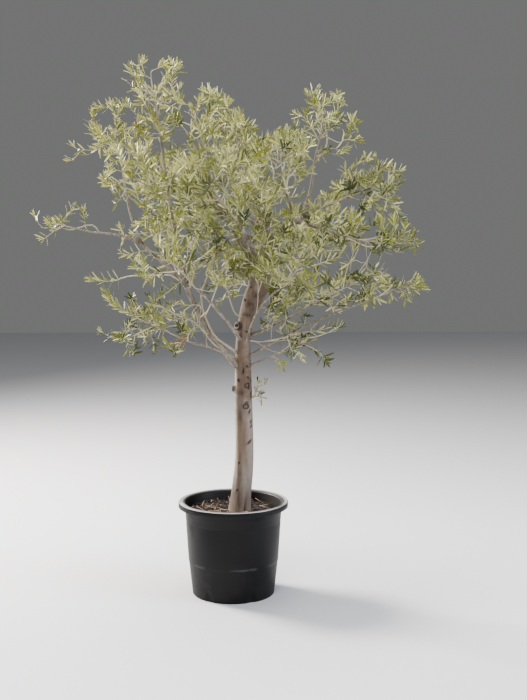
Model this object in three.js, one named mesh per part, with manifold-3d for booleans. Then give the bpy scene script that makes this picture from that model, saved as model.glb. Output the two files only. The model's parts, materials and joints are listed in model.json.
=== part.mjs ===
// Potted olive tree: a young standard olive with an open, rounded crown, in a black nursery pot.
// Millimetres, +Z up. The origin is the centre of the pot's flat underside. The tree is seen
// from -Y, so +X is its right side and +Y its back.
import * as THREE from "three";
import { mergeVertices } from "three/addons/utils/BufferGeometryUtils.js";
import Module from "manifold-3d";

const wasm = await Module();
wasm.setup();

const clearance = 0.3; // between solids that touch on the real tree

const pot = {
  height: 395,
  rimRadius: 231,
  rimWidth: 25,
  rimDepth: 22,
  rimThickness: 6,
  rimRound: 4,
  topRadius: 204, // outside of the wall, just under the rim
  bandDepth: 56, // from the rim's underside down to the band's lower edge
  bandStep: 1.8,
  stepHeight: 143, // the ledge where the wall narrows to the foot
  stepRadius: 189.5,
  stepWidth: 1.5,
  footRadius: 173,
  footChamfer: 4,
  wall: 4,
  floor: 5,
  segments: 36,
  colour: 0x26272b,
};

const soil = {
  level: 350,
  mound: 9, // how much higher it lies between the trunk and the wall
  flatShare: 0.42, // of its radius that is level round the trunk
  rings: 5,
  colour: 0x3b2d24,
};

// The trunk in even steps of height, from a little below its flat cut at the soil to its fork: how
// far its centre stands to the right and to the back of the pot's centre, and its radius.
const trunk = {
  top: 1430,
  trimmed: 15, // what the flat cut takes off its foot
  lean: [
    [22, 0, 45],
    [32, -4, 40],
    [42, -8, 38.5],
    [47, -10, 38],
    [47, -8, 38],
    [44, -4, 37],
    [44, 0, 35],
    [43, 4, 33],
    [43, 6, 31],
    [54, 4, 31],
    [78, 0, 34],
    [108, -4, 30],
    [140, -8, 23],
  ],
  flare: 0.2, // how far the root lobes stand out at the soil, as a share of the radius
  flareHeight: 70,
  lobes: 3,
  lobeTurn: 0.9,
  sides: 14,
  steps: 20,
  colour: 0xa38f7c,
};

const limb = { boughSides: 6, sides: 5, steps: 3, colour: 0x8d8274 };

// Boughs that fork. "at" is the share of the parent's length where a bough leaves it, "hug" how
// long it keeps to the parent's direction, or below nothing how far it sags from it, and "radii"
// its radius at both ends.
const boughs = [
  { name: "bough_left", from: "trunk", at: 0.555, end: [-190, -70, 1310], hug: -0.45, radii: [12.5, 9.5] },
  { name: "bough_arch", from: "bough_left", at: 1, end: [-372, -95, 1478], hug: 0.1, radii: [8.5, 6.5] },
  { name: "fork_left", from: "trunk", at: 0.86, end: [-40, -70, 1600], hug: 0.5, radii: [17, 12] },
  { name: "fork_back", from: "trunk", at: 0.93, end: [120, 175, 1560], hug: 0.5, radii: [17, 12] },
  { name: "fork_right", from: "trunk", at: 0.97, end: [290, 10, 1585], hug: 0.5, radii: [17, 12] },
  { name: "fork_front", from: "trunk", at: 0.88, end: [60, -190, 1500], hug: 0.45, radii: [14, 10] },
];

// Masses of foliage, each on its own limb. "centre" and "reach" are the middle and half sizes of
// the space that it keeps to, and "twigs" is how many twigs its stem sends out.
const masses = [
  { name: "top_left", from: "bough_left", at: 0.97, hug: 0.35, radii: [8, 4.5], twigs: 7,
    centre: [-318, 0, 2070], reach: [172, 155, 185] },
  { name: "upper_left", from: "bough_arch", at: 0.96, hug: 0.3, radii: [6, 4], twigs: 7,
    centre: [-480, 30, 1895], reach: [200, 170, 165] },
  { name: "long_left", from: "bough_arch", at: 1, hug: 0.5, radii: [5.5, 3.5], twigs: 5,
    centre: [-690, -80, 1552], reach: [175, 90, 85] },
  { name: "left", from: "fork_left", at: 0.9, hug: 0.2, radii: [9, 4.5], twigs: 7,
    centre: [-355, -265, 1715], reach: [210, 190, 175] },
  { name: "left_back", from: "bough_left", at: 0.8, hug: 0.25, radii: [7.5, 4.5], twigs: 7,
    centre: [-310, 210, 1490], reach: [205, 190, 160] },
  { name: "left_low", from: "trunk", at: 0.575, hug: 0.35, radii: [8, 4.5], twigs: 8,
    centre: [-320, -110, 1150], reach: [270, 200, 155] },
  { name: "upper_front", from: "fork_left", at: 1, hug: 0.5, radii: [9.5, 5], twigs: 7,
    centre: [-140, -180, 1940], reach: [180, 175, 170] },
  { name: "top", from: "trunk", at: 1, hug: 0.6, radii: [13, 5.5], twigs: 6,
    centre: [20, 120, 1915], reach: [180, 180, 175] },
  { name: "front", from: "fork_front", at: 1, hug: 0.4, radii: [8.5, 5], twigs: 7,
    centre: [-70, -450, 1680], reach: [210, 185, 190] },
  { name: "top_right", from: "fork_right", at: 0.97, hug: 0.3, radii: [9, 4.5], twigs: 7,
    centre: [370, 40, 1945], reach: [160, 155, 175] },
  { name: "inner_right", from: "fork_right", at: 0.75, hug: 0.3, radii: [8, 4.5], twigs: 6,
    centre: [195, -160, 1790], reach: [175, 165, 160] },
  { name: "right", from: "fork_right", at: 1, hug: 0.2, radii: [8.5, 4.5], twigs: 6,
    centre: [560, 40, 1700], reach: [190, 175, 145] },
  { name: "right_mid", from: "fork_right", at: 0.85, hug: 0.1, radii: [8, 4.5], twigs: 7,
    centre: [585, -140, 1470], reach: [190, 170, 130] },
  { name: "right_low", from: "trunk", at: 0.685, hug: -0.15, radii: [9, 4.5], twigs: 7,
    centre: [480, 60, 1290], reach: [210, 185, 125] },
  { name: "right_tip", from: "trunk", at: 0.6, hug: 0.12, radii: [6.5, 4], twigs: 4,
    centre: [655, -170, 1300], reach: [145, 105, 85] },
  { name: "under_right", from: "trunk", at: 0.57, hug: 0, radii: [6, 4], twigs: 6,
    centre: [280, -70, 1060], reach: [185, 160, 120] },
  { name: "front_right", from: "trunk", at: 0.575, hug: 0.85, radii: [7.5, 4.5], twigs: 7,
    centre: [260, -440, 1430], reach: [225, 180, 175] },
  { name: "back_top", from: "fork_back", at: 1, hug: 0.5, radii: [9.5, 5], twigs: 6,
    centre: [190, 400, 1800], reach: [200, 190, 190] },
  { name: "back_left", from: "fork_back", at: 0.85, hug: 0.3, radii: [8.5, 4.5], twigs: 7,
    centre: [-240, 430, 1720], reach: [210, 190, 180] },
  { name: "back_right", from: "fork_back", at: 0.95, hug: 0.2, radii: [8.5, 4.5], twigs: 7,
    centre: [450, 430, 1560], reach: [210, 195, 170] },
  { name: "back_low", from: "trunk", at: 0.72, hug: 0.1, radii: [8.5, 4.5], twigs: 7,
    centre: [90, 480, 1310], reach: [230, 190, 155] },
  { name: "front_low", from: "trunk", at: 0.66, hug: 0.1, radii: [7.5, 4.5], twigs: 7,
    centre: [-190, -480, 1380], reach: [200, 160, 140] },
  { name: "shoot", from: "trunk", at: 0.46, twigs: 3,
    centre: [108, -24, 868], reach: [48, 44, 76] },
];

// Leaves and twigs are larger than life, so that a few hundred fill the crown. A leaf springs from
// its twig at one of the pairs, "at" a share of the twig and "open" degrees away from it.
const leaf = {
  length: 108,
  width: 31,
  thickness: 4,
  sink: 0.5, // how far past the middle of its twig it is rooted
  pairs: [
    { at: 0.42, open: 56 },
    { at: 0.7, open: 46 },
    { at: 0.97, open: 24 },
  ],
  openSpread: 7,
  lengthSpread: 0.12,
  margin: 0.85, // of its length, from a twig's end to the surface of the space
  spacing: 0.62, // of its width, from its midrib to the next leaf's
  freeFrom: 0.25, // the share of its length past which nothing may come near
  shareOfReach: 1.1, // at most, of the least half size of its mass's space
  rolls: 4, // how many turns about the twig are tried for a pair
  colour: 0x8b9670,
};
// A mass sends its twigs to places spread over its space, from the stretch of its stem that lies
// on the same side.
const twig = {
  radius: 4.8,
  tipRadius: 3.8,
  sides: 3,
  lift: 0.25, // how much more they point up than down
  leastReach: 0.35, // of the space's half size
  lengthSpread: 0.08,
  firstFoot: 0.06, // the share of the stem where the first leave it
  middleFoot: 0.45, // and those that point sideways
  freeFrom: 0.35,
  backwards: 0.55, // none points back at the limb by more than this cosine
};
const stem = {
  past: 0.4, // how far past the middle of its space it runs
  bow: 0.08,
  straight: 10, // its first stretch, in line with its limb
  freeFrom: 0.2,
};
const limbEntry = 0.85; // the share of a space's half size at which its limb ends
const apart = 1; // from a mass's own space to the next
const clearOfLimbs = 2;
const fineness = 0.05; // edges that bend a surface less than this are dropped
const goldenAngle = Math.PI * (3 - Math.sqrt(5));

const vector = (x, y, z) => new THREE.Vector3(x, y, z);
const radians = THREE.MathUtils.degToRad;

// Random numbers that come out the same on every run.
function seededRandom(seed) {
  let state = seed * 7919 + 1;
  const draw = (low, high) => {
    state = (state * 48271) % 2147483647;
    return low + ((high - low) * state) / 2147483647;
  };
  draw(0, 1);
  draw(0, 1);
  return draw;
}

// The solid of a closed geometry.
function solidOf(geometry) {
  const bare = geometry.clone();
  bare.deleteAttribute("normal");
  bare.deleteAttribute("uv");
  const merged = mergeVertices(bare, 1e-3);
  return new wasm.Manifold(
    new wasm.Mesh({
      numProp: 3,
      vertProperties: merged.attributes.position.array,
      triVerts: new Uint32Array(merged.index.array),
    }),
  );
}

function geometryOf(solid) {
  const mesh = solid.getMesh();
  const geometry = new THREE.BufferGeometry();
  geometry.setAttribute("position", new THREE.BufferAttribute(mesh.vertProperties, 3));
  geometry.setIndex(new THREE.BufferAttribute(mesh.triVerts, 1));
  geometry.computeVertexNormals();
  return geometry;
}

// The largest piece of a cut solid, without loose scraps.
function mainPiece(solid) {
  const pieces = solid.decompose();
  return pieces.reduce((best, piece) => (piece.volume() > best.volume() ? piece : best));
}

function named(name, geometry, colour, roughness) {
  const material = new THREE.MeshStandardMaterial({ color: colour, roughness, metalness: 0 });
  const mesh = new THREE.Mesh(geometry, material);
  mesh.name = name;
  return mesh;
}

// A cylinder bent along a line of points, with a radius at each point. shape(angle, height) may
// scale the radius round the section.
function bentTube(points, radii, sides, shape = () => 1) {
  const steps = points.length - 1;
  const geometry = new THREE.CylinderGeometry(1, 1, steps, sides, steps);
  const position = geometry.attributes.position;
  const rings = [];
  let side = null;
  for (let i = 0; i <= steps; i++) {
    const before = points[Math.max(i - 1, 0)];
    const after = points[Math.min(i + 1, steps)];
    const along = after.clone().sub(before).normalize();
    const start = Math.abs(along.z) > 0.9 ? vector(1, 0, 0) : vector(0, 0, 1);
    side = (side ?? start).clone().projectOnPlane(along).normalize();
    rings.push({ side, across: side.clone().cross(along) });
  }
  for (let v = 0; v < position.count; v++) {
    const i = Math.round(position.getY(v) + steps / 2);
    const angle = Math.atan2(position.getX(v), position.getZ(v));
    const radius = radii[i] * shape(angle, points[i].z);
    const at = points[i]
      .clone()
      .addScaledVector(rings[i].side, position.getX(v) * radius)
      .addScaledVector(rings[i].across, position.getZ(v) * radius);
    position.setXYZ(v, at.x, at.y, at.z);
  }
  return geometry;
}

// The distance from a segment to a limb's surface, or to a line without width, by sampling.
function distanceToLine(from, to, line) {
  const samples = 4;
  const piece = new THREE.Line3();
  const nearest = vector(0, 0, 0);
  let least = Infinity;
  for (let s = 0; s <= samples; s++) {
    const probe = from.clone().lerp(to, s / samples);
    for (let i = 0; i + 1 < line.points.length; i++) {
      piece.set(line.points[i], line.points[i + 1]);
      piece.closestPointToPoint(probe, true, nearest);
      const radius = Math.max(line.radii[i], line.radii[i + 1]);
      least = Math.min(least, nearest.distanceTo(probe) - radius);
    }
  }
  return least;
}

// The outside radius of the pot's wall above the ledge.
function wallAt(z) {
  const underRim = pot.height - pot.rimDepth;
  const slope = (pot.topRadius - pot.stepRadius) / (underRim - pot.stepHeight);
  return pot.stepRadius + slope * (z - pot.stepHeight);
}

// The inside radius of the pot's wall, in two straight stretches that meet at the ledge.
function innerWallAt(z) {
  const footSlope = (pot.stepRadius - pot.stepWidth - pot.footRadius) / pot.stepHeight;
  const inset = pot.wall + pot.stepWidth;
  if (z > pot.stepHeight) return wallAt(z) - inset;
  return pot.stepRadius - inset - footSlope * (pot.stepHeight - z);
}

// A closed solid turned round the upright axis from its outline of [radius, height].
function turned(outline) {
  const points = outline.map(([radius, z]) => new THREE.Vector2(radius, z));
  return new THREE.LatheGeometry(points, pot.segments).rotateX(Math.PI / 2);
}

// The pot: its wall with a turned-down rim, a shallow band under it and a narrower foot.
function potMesh() {
  const top = pot.height;
  const underRim = top - pot.rimDepth;
  const shoulder = top - pot.rimThickness;
  const bandFoot = underRim - pot.bandDepth;
  const lip = pot.rimRadius - pot.wall;
  const outline = [
    [0, 0],
    [pot.footRadius - pot.footChamfer, 0],
    [pot.footRadius, pot.footChamfer],
    [pot.stepRadius - pot.stepWidth, pot.stepHeight - pot.stepWidth],
    [pot.stepRadius, pot.stepHeight],
    [wallAt(bandFoot) - pot.bandStep, bandFoot],
    [wallAt(bandFoot), bandFoot + pot.bandStep],
    [wallAt(shoulder), shoulder],
    [lip, shoulder],
    [lip, underRim],
    [pot.rimRadius, underRim],
    [pot.rimRadius, top - pot.rimRound],
    [pot.rimRadius - pot.rimRound, top],
    [pot.rimRadius - pot.rimWidth, top],
    [innerWallAt(shoulder), shoulder],
    [innerWallAt(pot.stepHeight), pot.stepHeight],
    [innerWallAt(pot.floor), pot.floor],
    [0, pot.floor],
  ];
  return named("pot", turned(outline), pot.colour, 0.5);
}

// The soil: it fills the pot to its level, a little higher half way out.
function soilMesh() {
  const bottom = pot.floor + clearance;
  const edge = (z) => innerWallAt(z) - clearance;
  const rim = edge(soil.level);
  const outline = [
    [0, bottom],
    [edge(bottom), bottom],
    [edge(pot.stepHeight), pot.stepHeight],
  ];
  for (let ring = 0; ring <= soil.rings; ring++) {
    const share = 1 - ring / soil.rings;
    const outward = Math.max(share - soil.flatShare, 0) / (1 - soil.flatShare);
    outline.push([rim * share, soil.level + soil.mound * Math.sin(outward * Math.PI)]);
  }
  return named("soil", turned(outline), soil.colour, 0.95);
}

// The trunk's centre line and radii.
function trunkLimb() {
  const foot = soil.level - trunk.trimmed;
  const rise = (trunk.top - foot) / (trunk.lean.length - 1);
  const rows = trunk.lean.map(([x, y], i) => vector(x, y, foot + i * rise));
  const curve = new THREE.CatmullRomCurve3(rows, false, "catmullrom", 0.5);
  const girth = new THREE.CatmullRomCurve3(
    trunk.lean.map(([, , radius], i) => vector(radius, 0, i)),
    false,
    "catmullrom",
    0.5,
  );
  const shares = Array.from({ length: trunk.steps + 1 }, (_, i) => i / trunk.steps);
  return {
    name: "trunk",
    curve,
    points: shares.map((share) => curve.getPoint(share)),
    radii: shares.map((share) => girth.getPoint(share).x),
    radiusAt: (share) => girth.getPoint(share).x,
    sides: trunk.sides,
    shape: rootLobes,
  };
}

// Root lobes round the trunk's foot, which fade with height.
function rootLobes(angle, z) {
  const fade = Math.exp(-(z - soil.level) / trunk.flareHeight);
  return 1 + trunk.flare * fade * (0.5 + 0.5 * Math.cos(trunk.lobes * angle + trunk.lobeTurn));
}

// A limb leaves its parent's centre line, keeps to the parent's direction for a while and bends
// to its end.
function limbTo(name, parent, at, end, hug, radii, sides) {
  const start = parent.curve.getPoint(at);
  const along = parent.curve.getTangent(at);
  const straight = end.clone().sub(start);
  const bend = start
    .clone()
    .addScaledVector(straight, 0.5 * (1 - hug))
    .addScaledVector(along, 0.5 * hug * straight.length());
  const curve = new THREE.QuadraticBezierCurve3(start, bend, end);
  const points = curve.getPoints(limb.steps);
  const taper = points.map((_, i) => radii[0] + ((radii[1] - radii[0]) * i) / limb.steps);
  return { name, parent, curve, points, radii: taper, sides };
}

// Where a mass's limb ends: a little inside its space, on the side of the limb's start.
function entryOf(mass, start) {
  const reach = vector(...mass.reach);
  const centre = vector(...mass.centre);
  const inward = start.clone().sub(centre).divide(reach).normalize();
  return centre.add(inward.multiply(reach).multiplyScalar(limbEntry));
}

// A limb's solid, cut clear of its parent and of the limbs that left the same parent before it.
function limbSolid(member, earlier) {
  let solid = solidOf(bentTube(member.points, member.radii, member.sides, member.shape));
  for (const other of earlier) {
    const swollen = other.radii.map((radius) => radius + clearance);
    const points = other.points.map((point) => point.clone());
    const last = points.length - 1;
    const tip = points[last].clone().sub(points[last - 1]).normalize();
    points[last].addScaledVector(tip, clearance);
    solid = solid.subtract(solidOf(bentTube(points, swollen, other.sides, other.shape)));
  }
  return mainPiece(solid.trimByPlane([0, 0, 1], soil.level + clearance));
}

// Leaves are shorter in a mass that is small.
function leafLengthOf(mass) {
  return Math.min(leaf.length, leaf.shareOfReach * Math.min(...mass.reach));
}

// The half size of a mass's space in a direction.
function halfSize(mass, direction) {
  return 1 / direction.clone().divide(vector(...mass.reach)).length();
}

// True if a point is in a mass's own space: its ellipsoid, up to the planes that part it from the
// other masses.
function insideSpace(mass, point) {
  const centre = vector(...mass.centre);
  if (point.clone().sub(centre).divide(vector(...mass.reach)).length() > 1) return false;
  return masses.every((other) => {
    if (other === mass) return true;
    const between = vector(...other.centre).sub(centre);
    const distance = between.length();
    between.normalize();
    const mine = halfSize(mass, between);
    const share = mine / (mine + halfSize(other, between));
    return point.clone().sub(centre).dot(between) < distance * share - apart;
  });
}

// A mass's stem: it goes on from the limb's tip, through the middle of the space and past it.
function stemOf(mass, bearer) {
  const centre = vector(...mass.centre);
  const [start, along] = onLine(bearer.points, 1);
  const foot = start.clone().addScaledVector(along, clearance);
  const straight = foot.clone().addScaledVector(along, stem.straight);
  const end = centre.clone().addScaledVector(centre.clone().sub(start), stem.past);
  const bow = start.distanceTo(end) * stem.bow;
  const middle = start.clone().lerp(end, 0.5).addScaledVector(along, bow);
  const thick = bearer.radii[bearer.radii.length - 1];
  return {
    points: [foot, straight, middle, end],
    radii: [thick, thick, (thick + twig.tipRadius) / 2, twig.tipRadius],
    sides: twig.sides,
  };
}

// The stem of a shoot that springs from the trunk's own bark.
function stemOnTrunk(mass, parent) {
  const centre = vector(...mass.centre);
  const core = parent.curve.getPoint(mass.at);
  const along = centre.clone().sub(core).setZ(0).normalize();
  const foot = core.addScaledVector(along, parent.radiusAt(mass.at) + clearance);
  const straight = foot.clone().addScaledVector(along, stem.straight);
  const end = centre.clone().add(vector(0, 0, stem.past * mass.reach[2]));
  return {
    points: [foot, straight, straight.clone().lerp(end, 0.5), end],
    radii: [twig.radius, twig.radius, twig.tipRadius, twig.tipRadius],
    sides: twig.sides,
  };
}

// A mass's twigs: each leaves the stem for its own place on an even spread of places over the
// space, less than a leaf's length in from its surface.
function twigsOf(mass, random) {
  const centre = vector(...mass.centre);
  const back = mass.stem.points[0].clone().sub(centre).normalize();
  const turn = random(0, 2 * Math.PI);
  const twigs = [];
  for (let k = 0; k < mass.twigs; k++) {
    const height = 1 - (2 * k + 1) / mass.twigs;
    const round = Math.sqrt(1 - height * height);
    const angle = turn + k * goldenAngle;
    const way = vector(round * Math.cos(angle), round * Math.sin(angle), height + twig.lift);
    way.normalize();
    const half = halfSize(mass, way);
    const room = Math.max(half - leaf.margin * leafLengthOf(mass), twig.leastReach * half);
    const tip = centre.clone().addScaledVector(way, room * random(1 - twig.lengthSpread, 1));
    const ahead = -way.dot(back);
    if (-ahead > twig.backwards) continue;
    const share = Math.max(twig.middleFoot + ahead / 2, twig.firstFoot);
    twigs.push([onLine(mass.stem.points, share)[0], tip]);
  }
  return twigs;
}

// The place and the direction at a share of a line of points.
function onLine(points, share) {
  const i = Math.min(Math.floor(share * (points.length - 1)), points.length - 2);
  const place = points[i].clone().lerp(points[i + 1], share * (points.length - 1) - i);
  return [place, points[i + 1].clone().sub(points[i]).normalize()];
}

// A pair of leaves that face each other across their twig, turned about it by the roll.
function leafPair(mass, points, pair, roll, random) {
  const [place, along] = onLine(points, pair.at);
  const level = vector(0, 0, 1).cross(along);
  if (level.length() < 0.1) level.set(1, 0, 0);
  level.normalize().applyAxisAngle(along, roll);
  const across = along.clone().cross(level);
  return [-1, 1].map((hand) => {
    const open = radians(pair.open + random(-leaf.openSpread, leaf.openSpread));
    const way = along
      .clone()
      .multiplyScalar(Math.cos(open))
      .addScaledVector(level, hand * Math.sin(open));
    const root = place.clone().addScaledVector(way, -leaf.sink);
    return { root, way, across, length: leafLengthOf(mass) * random(1 - leaf.lengthSpread, 1) };
  });
}

// A leaf blade of four faces: its root and tip are the ends of its midrib, and the edge under it
// runs across from side to side.
function leafSolid({ root, way, across, length }) {
  const scale = length / leaf.length;
  const blade = new THREE.TetrahedronGeometry(Math.sqrt(3)).rotateZ(Math.PI / 4);
  const flat = across.clone().cross(way).normalize();
  const basis = new THREE.Matrix4().makeBasis(
    across.clone().multiplyScalar((leaf.width * scale) / Math.sqrt(8)),
    way.clone().multiplyScalar(length / Math.sqrt(8)),
    flat.multiplyScalar((leaf.thickness * scale) / 2),
  );
  basis.setPosition(root.clone().addScaledVector(way, length / 2));
  blade.applyMatrix4(basis);
  return solidOf(blade);
}

// A line that the leaves after it keep clear of, from a share of its length on.
function lineToAvoid(points, from) {
  const rest = [onLine(points, from)[0], ...points.slice(1)];
  return { points: rest, radii: rest.map(() => 0) };
}

// True if a leaf keeps to its mass's space, clear of every limb and of the leaves before it.
function leafFits(mass, { root, way, across, length }, obstacles, placed) {
  const width = (leaf.width * length) / leaf.length;
  const along = (share) => root.clone().addScaledVector(way, length * share);
  const middle = along(0.5);
  const tip = along(1);
  const edges = [-width / 2, width / 2].map((x) => middle.clone().addScaledVector(across, x));
  if (![root, tip, ...edges].every((corner) => insideSpace(mass, corner))) return false;
  const free = along(leaf.freeFrom);
  if (placed.some((line) => distanceToLine(free, tip, line) < width * leaf.spacing)) return false;
  return obstacles.every((line) => distanceToLine(root, tip, line) > width / 2 + clearOfLimbs);
}

// The leaves of one twig: for each pair, the turn about the twig at which most of the pair fits.
function leavesOf(mass, points, obstacles, placed, random) {
  const leaves = [];
  for (const pair of leaf.pairs) {
    const first = random(0, Math.PI);
    let best = [];
    for (let k = 0; k < leaf.rolls && best.length < 2; k++) {
      const roll = first + (k * Math.PI) / leaf.rolls;
      const both = leafPair(mass, points, pair, roll, random);
      const fitting = both.filter((blade) => leafFits(mass, blade, obstacles, placed));
      if (fitting.length > best.length) best = fitting;
    }
    for (const { root, way, length } of best) {
      const midrib = [root, root.clone().addScaledVector(way, length)];
      placed.push(lineToAvoid(midrib, leaf.freeFrom));
    }
    leaves.push(...best);
  }
  return leaves;
}

// A mass of foliage: its stem, twigs and leaves, fused.
function foliageSolid(mass, obstacles, seed) {
  const { points: line, radii, sides } = mass.stem;
  const random = seededRandom(seed);
  const pieces = [solidOf(bentTube(line, radii, sides))];
  const twigs = twigsOf(mass, random).filter(
    ([foot, tip]) =>
      insideSpace(mass, tip) &&
      obstacles.every((limb) => distanceToLine(foot, tip, limb) > twig.radius + clearOfLimbs),
  );
  const wood = twigs.map((points) => lineToAvoid(points, twig.freeFrom));
  const placed = [lineToAvoid(line, stem.freeFrom)];
  twigs.forEach((points, index) => {
    pieces.push(solidOf(bentTube(points, [twig.radius, twig.tipRadius], twig.sides)));
    const others = wood.filter((_, other) => other !== index);
    const leaves = leavesOf(mass, points, [...obstacles, ...others], placed, random);
    pieces.push(...leaves.map(leafSolid));
  });
  return mainPiece(wasm.Manifold.union(pieces).simplify(fineness));
}

// The trunk, the boughs, and a limb for each mass of foliage, by name, parents first. Each mass
// is given its stem.
function limbsOfTree() {
  const limbs = new Map([["trunk", trunkLimb()]]);
  for (const { name, from, at, end, hug, radii } of boughs) {
    const parent = limbs.get(from);
    limbs.set(name, limbTo(name, parent, at, vector(...end), hug, radii, limb.boughSides));
  }
  for (const mass of masses) {
    const parent = limbs.get(mass.from);
    if (!mass.radii) {
      mass.stem = stemOnTrunk(mass, parent);
      continue;
    }
    const name = "limb_" + mass.name;
    const end = entryOf(mass, parent.curve.getPoint(mass.at));
    limbs.set(name, limbTo(name, parent, mass.at, end, mass.hug, mass.radii, limb.sides));
    mass.stem = stemOf(mass, limbs.get(name));
  }
  return [...limbs.values()];
}

// The tree's meshes: every limb cut clear of the limbs before it, then the foliage.
function treeMeshes() {
  const limbs = limbsOfTree();
  const meshes = limbs.map((member, index) => {
    const { name, parent } = member;
    const near = limbs
      .slice(0, index)
      .filter((other) => other === parent || (parent && other.parent === parent));
    const colour = parent ? limb.colour : trunk.colour;
    return named(name, geometryOf(limbSolid(member, near)), colour, 0.85);
  });
  masses.forEach((mass, index) => {
    const stems = masses.filter((other) => other !== mass).map((other) => other.stem);
    const solid = foliageSolid(mass, [...limbs, ...stems], index + 1);
    meshes.push(named("foliage_" + mass.name, geometryOf(solid), leaf.colour, 0.6));
  });
  return meshes;
}

const tree = new THREE.Group();
tree.name = "potted_olive_tree";
tree.add(potMesh(), soilMesh(), ...treeMeshes());

export default tree;
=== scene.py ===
import json
import math

import bmesh
import bpy
import numpy as np
from mathutils import Matrix, Vector, noise

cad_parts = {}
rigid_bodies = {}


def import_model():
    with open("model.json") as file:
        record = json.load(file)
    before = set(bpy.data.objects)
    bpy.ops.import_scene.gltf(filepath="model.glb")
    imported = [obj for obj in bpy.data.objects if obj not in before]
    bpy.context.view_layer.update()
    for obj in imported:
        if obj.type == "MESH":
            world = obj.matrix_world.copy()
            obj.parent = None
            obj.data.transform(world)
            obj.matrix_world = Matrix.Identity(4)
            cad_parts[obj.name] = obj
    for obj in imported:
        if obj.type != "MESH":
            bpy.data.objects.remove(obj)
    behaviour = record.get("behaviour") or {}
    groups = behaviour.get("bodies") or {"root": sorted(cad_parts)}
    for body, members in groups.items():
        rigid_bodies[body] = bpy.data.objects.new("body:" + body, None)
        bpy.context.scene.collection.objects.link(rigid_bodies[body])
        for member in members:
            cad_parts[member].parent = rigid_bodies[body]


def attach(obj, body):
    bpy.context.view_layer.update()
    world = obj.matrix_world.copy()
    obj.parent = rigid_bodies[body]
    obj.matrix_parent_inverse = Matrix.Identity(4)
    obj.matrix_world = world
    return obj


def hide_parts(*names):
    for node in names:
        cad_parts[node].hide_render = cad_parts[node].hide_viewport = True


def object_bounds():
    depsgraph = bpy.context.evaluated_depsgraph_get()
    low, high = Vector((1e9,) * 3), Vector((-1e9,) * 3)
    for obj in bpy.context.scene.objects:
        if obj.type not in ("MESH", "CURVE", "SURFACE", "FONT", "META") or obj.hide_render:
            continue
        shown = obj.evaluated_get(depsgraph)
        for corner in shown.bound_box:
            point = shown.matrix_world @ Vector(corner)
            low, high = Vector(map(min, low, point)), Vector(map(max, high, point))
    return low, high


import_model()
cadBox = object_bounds()
mm = 0.001
goldenAngle = math.pi * (3 - math.sqrt(5))


# The camera stands at eye height, a few steps in front of the pot.
cameraPlace = {
    "height": 1.55,
    "distance": 4.8,
    "downward": 6.15,  # degrees
    "aside": 1.52,  # degrees that it looks past the pot to the right
    "lens": 59.66,
}


def addCamera():
    data = bpy.data.cameras.new("camera")
    data.lens = cameraPlace["lens"]
    data.sensor_width = 36
    camera = bpy.data.objects.new("camera", data)
    camera.location = (0, -cameraPlace["distance"], cameraPlace["height"])
    tilt = math.radians(90 - cameraPlace["downward"])
    camera.rotation_euler = (tilt, 0, -math.radians(cameraPlace["aside"]))
    bpy.context.scene.collection.objects.link(camera)
    bpy.context.scene.camera = camera


studio = {
    "sky": (0.86, 0.88, 0.86),
    "skyStrength": 0.20,
    "floor": (0.70, 0.70, 0.74),
    "floorReach": 12,
    "contrast": "AgX - Medium High Contrast",
    "lamps": [
        # name, place, what it looks at, side in metres, watts, colour
        ("keyLamp", (-3.5, 2.3, 3.3), (0, 0, 1.3), 1.5, 600, (1.0, 0.95, 0.86)),
        ("frontLamp", (-1.4, -5.2, 4.2), (0, 0, 1.3), 2.6, 190, (1.0, 0.97, 0.92)),
        ("rightLamp", (4.2, -1.6, 2.6), (0, 0, 1.1), 2.4, 190, (0.86, 0.92, 1.0)),
        ("topLamp", (-0.4, 0.4, 5.2), (0, 0, 1.2), 2.2, 210, (1.0, 0.98, 0.95)),
    ],
}


def addStudio():
    world = bpy.data.worlds.new("studioSky")
    world.use_nodes = True
    background = world.node_tree.nodes["Background"]
    background.inputs["Color"].default_value = (*studio["sky"], 1)
    background.inputs["Strength"].default_value = studio["skyStrength"]
    bpy.context.scene.world = world
    bpy.context.scene.view_settings.look = studio["contrast"]
    for name, place, target, side, watts, colour in studio["lamps"]:
        data = bpy.data.lights.new(name, "AREA")
        data.size = side
        data.energy = watts
        data.color = colour
        lamp = bpy.data.objects.new(name, data)
        lamp.location = place
        aim = Vector(target) - Vector(place)
        lamp.rotation_euler = aim.to_track_quat("-Z", "Y").to_euler()
        bpy.context.scene.collection.objects.link(lamp)
    bm = bmesh.new()
    bmesh.ops.create_grid(bm, x_segments=1, y_segments=1, size=studio["floorReach"])
    floor = pieceFrom(bm, "floor", [newMaterial("paleFloor", studio["floor"], 0.8)[0]])


# Small helpers for meshes and materials.
def pieceFrom(bm, name, materials, smooth=False):
    mesh = bpy.data.meshes.new(name)
    bm.to_mesh(mesh)
    bm.free()
    return pieceOf(mesh, name, materials, smooth)


def pieceOf(mesh, name, materials, smooth=False):
    for material in materials:
        mesh.materials.append(material)
    if smooth:
        mesh.shade_smooth()
    else:
        mesh.shade_flat()
    piece = bpy.data.objects.new(name, mesh)
    bpy.context.scene.collection.objects.link(piece)
    return piece


def rideOn(piece, slot, *nodes):
    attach(piece, "root")
    if nodes:
        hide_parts(*nodes)


def node(tree, kind, **values):
    made = tree.nodes.new(kind)
    for name, value in values.items():
        if hasattr(made, name):
            setattr(made, name, value)
        else:
            made.inputs[name.replace("_", " ")].default_value = value
    return made


def newMaterial(name, colour, roughness, **values):
    material = bpy.data.materials.new(name)
    material.use_nodes = True
    material.diffuse_color = (*colour, 1)
    shader = material.node_tree.nodes["Principled BSDF"]
    shader.inputs["Base Color"].default_value = (*colour, 1)
    shader.inputs["Roughness"].default_value = roughness
    for socket, value in values.items():
        shader.inputs[socket.replace("_", " ")].default_value = value
    return material, material.node_tree, shader


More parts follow.
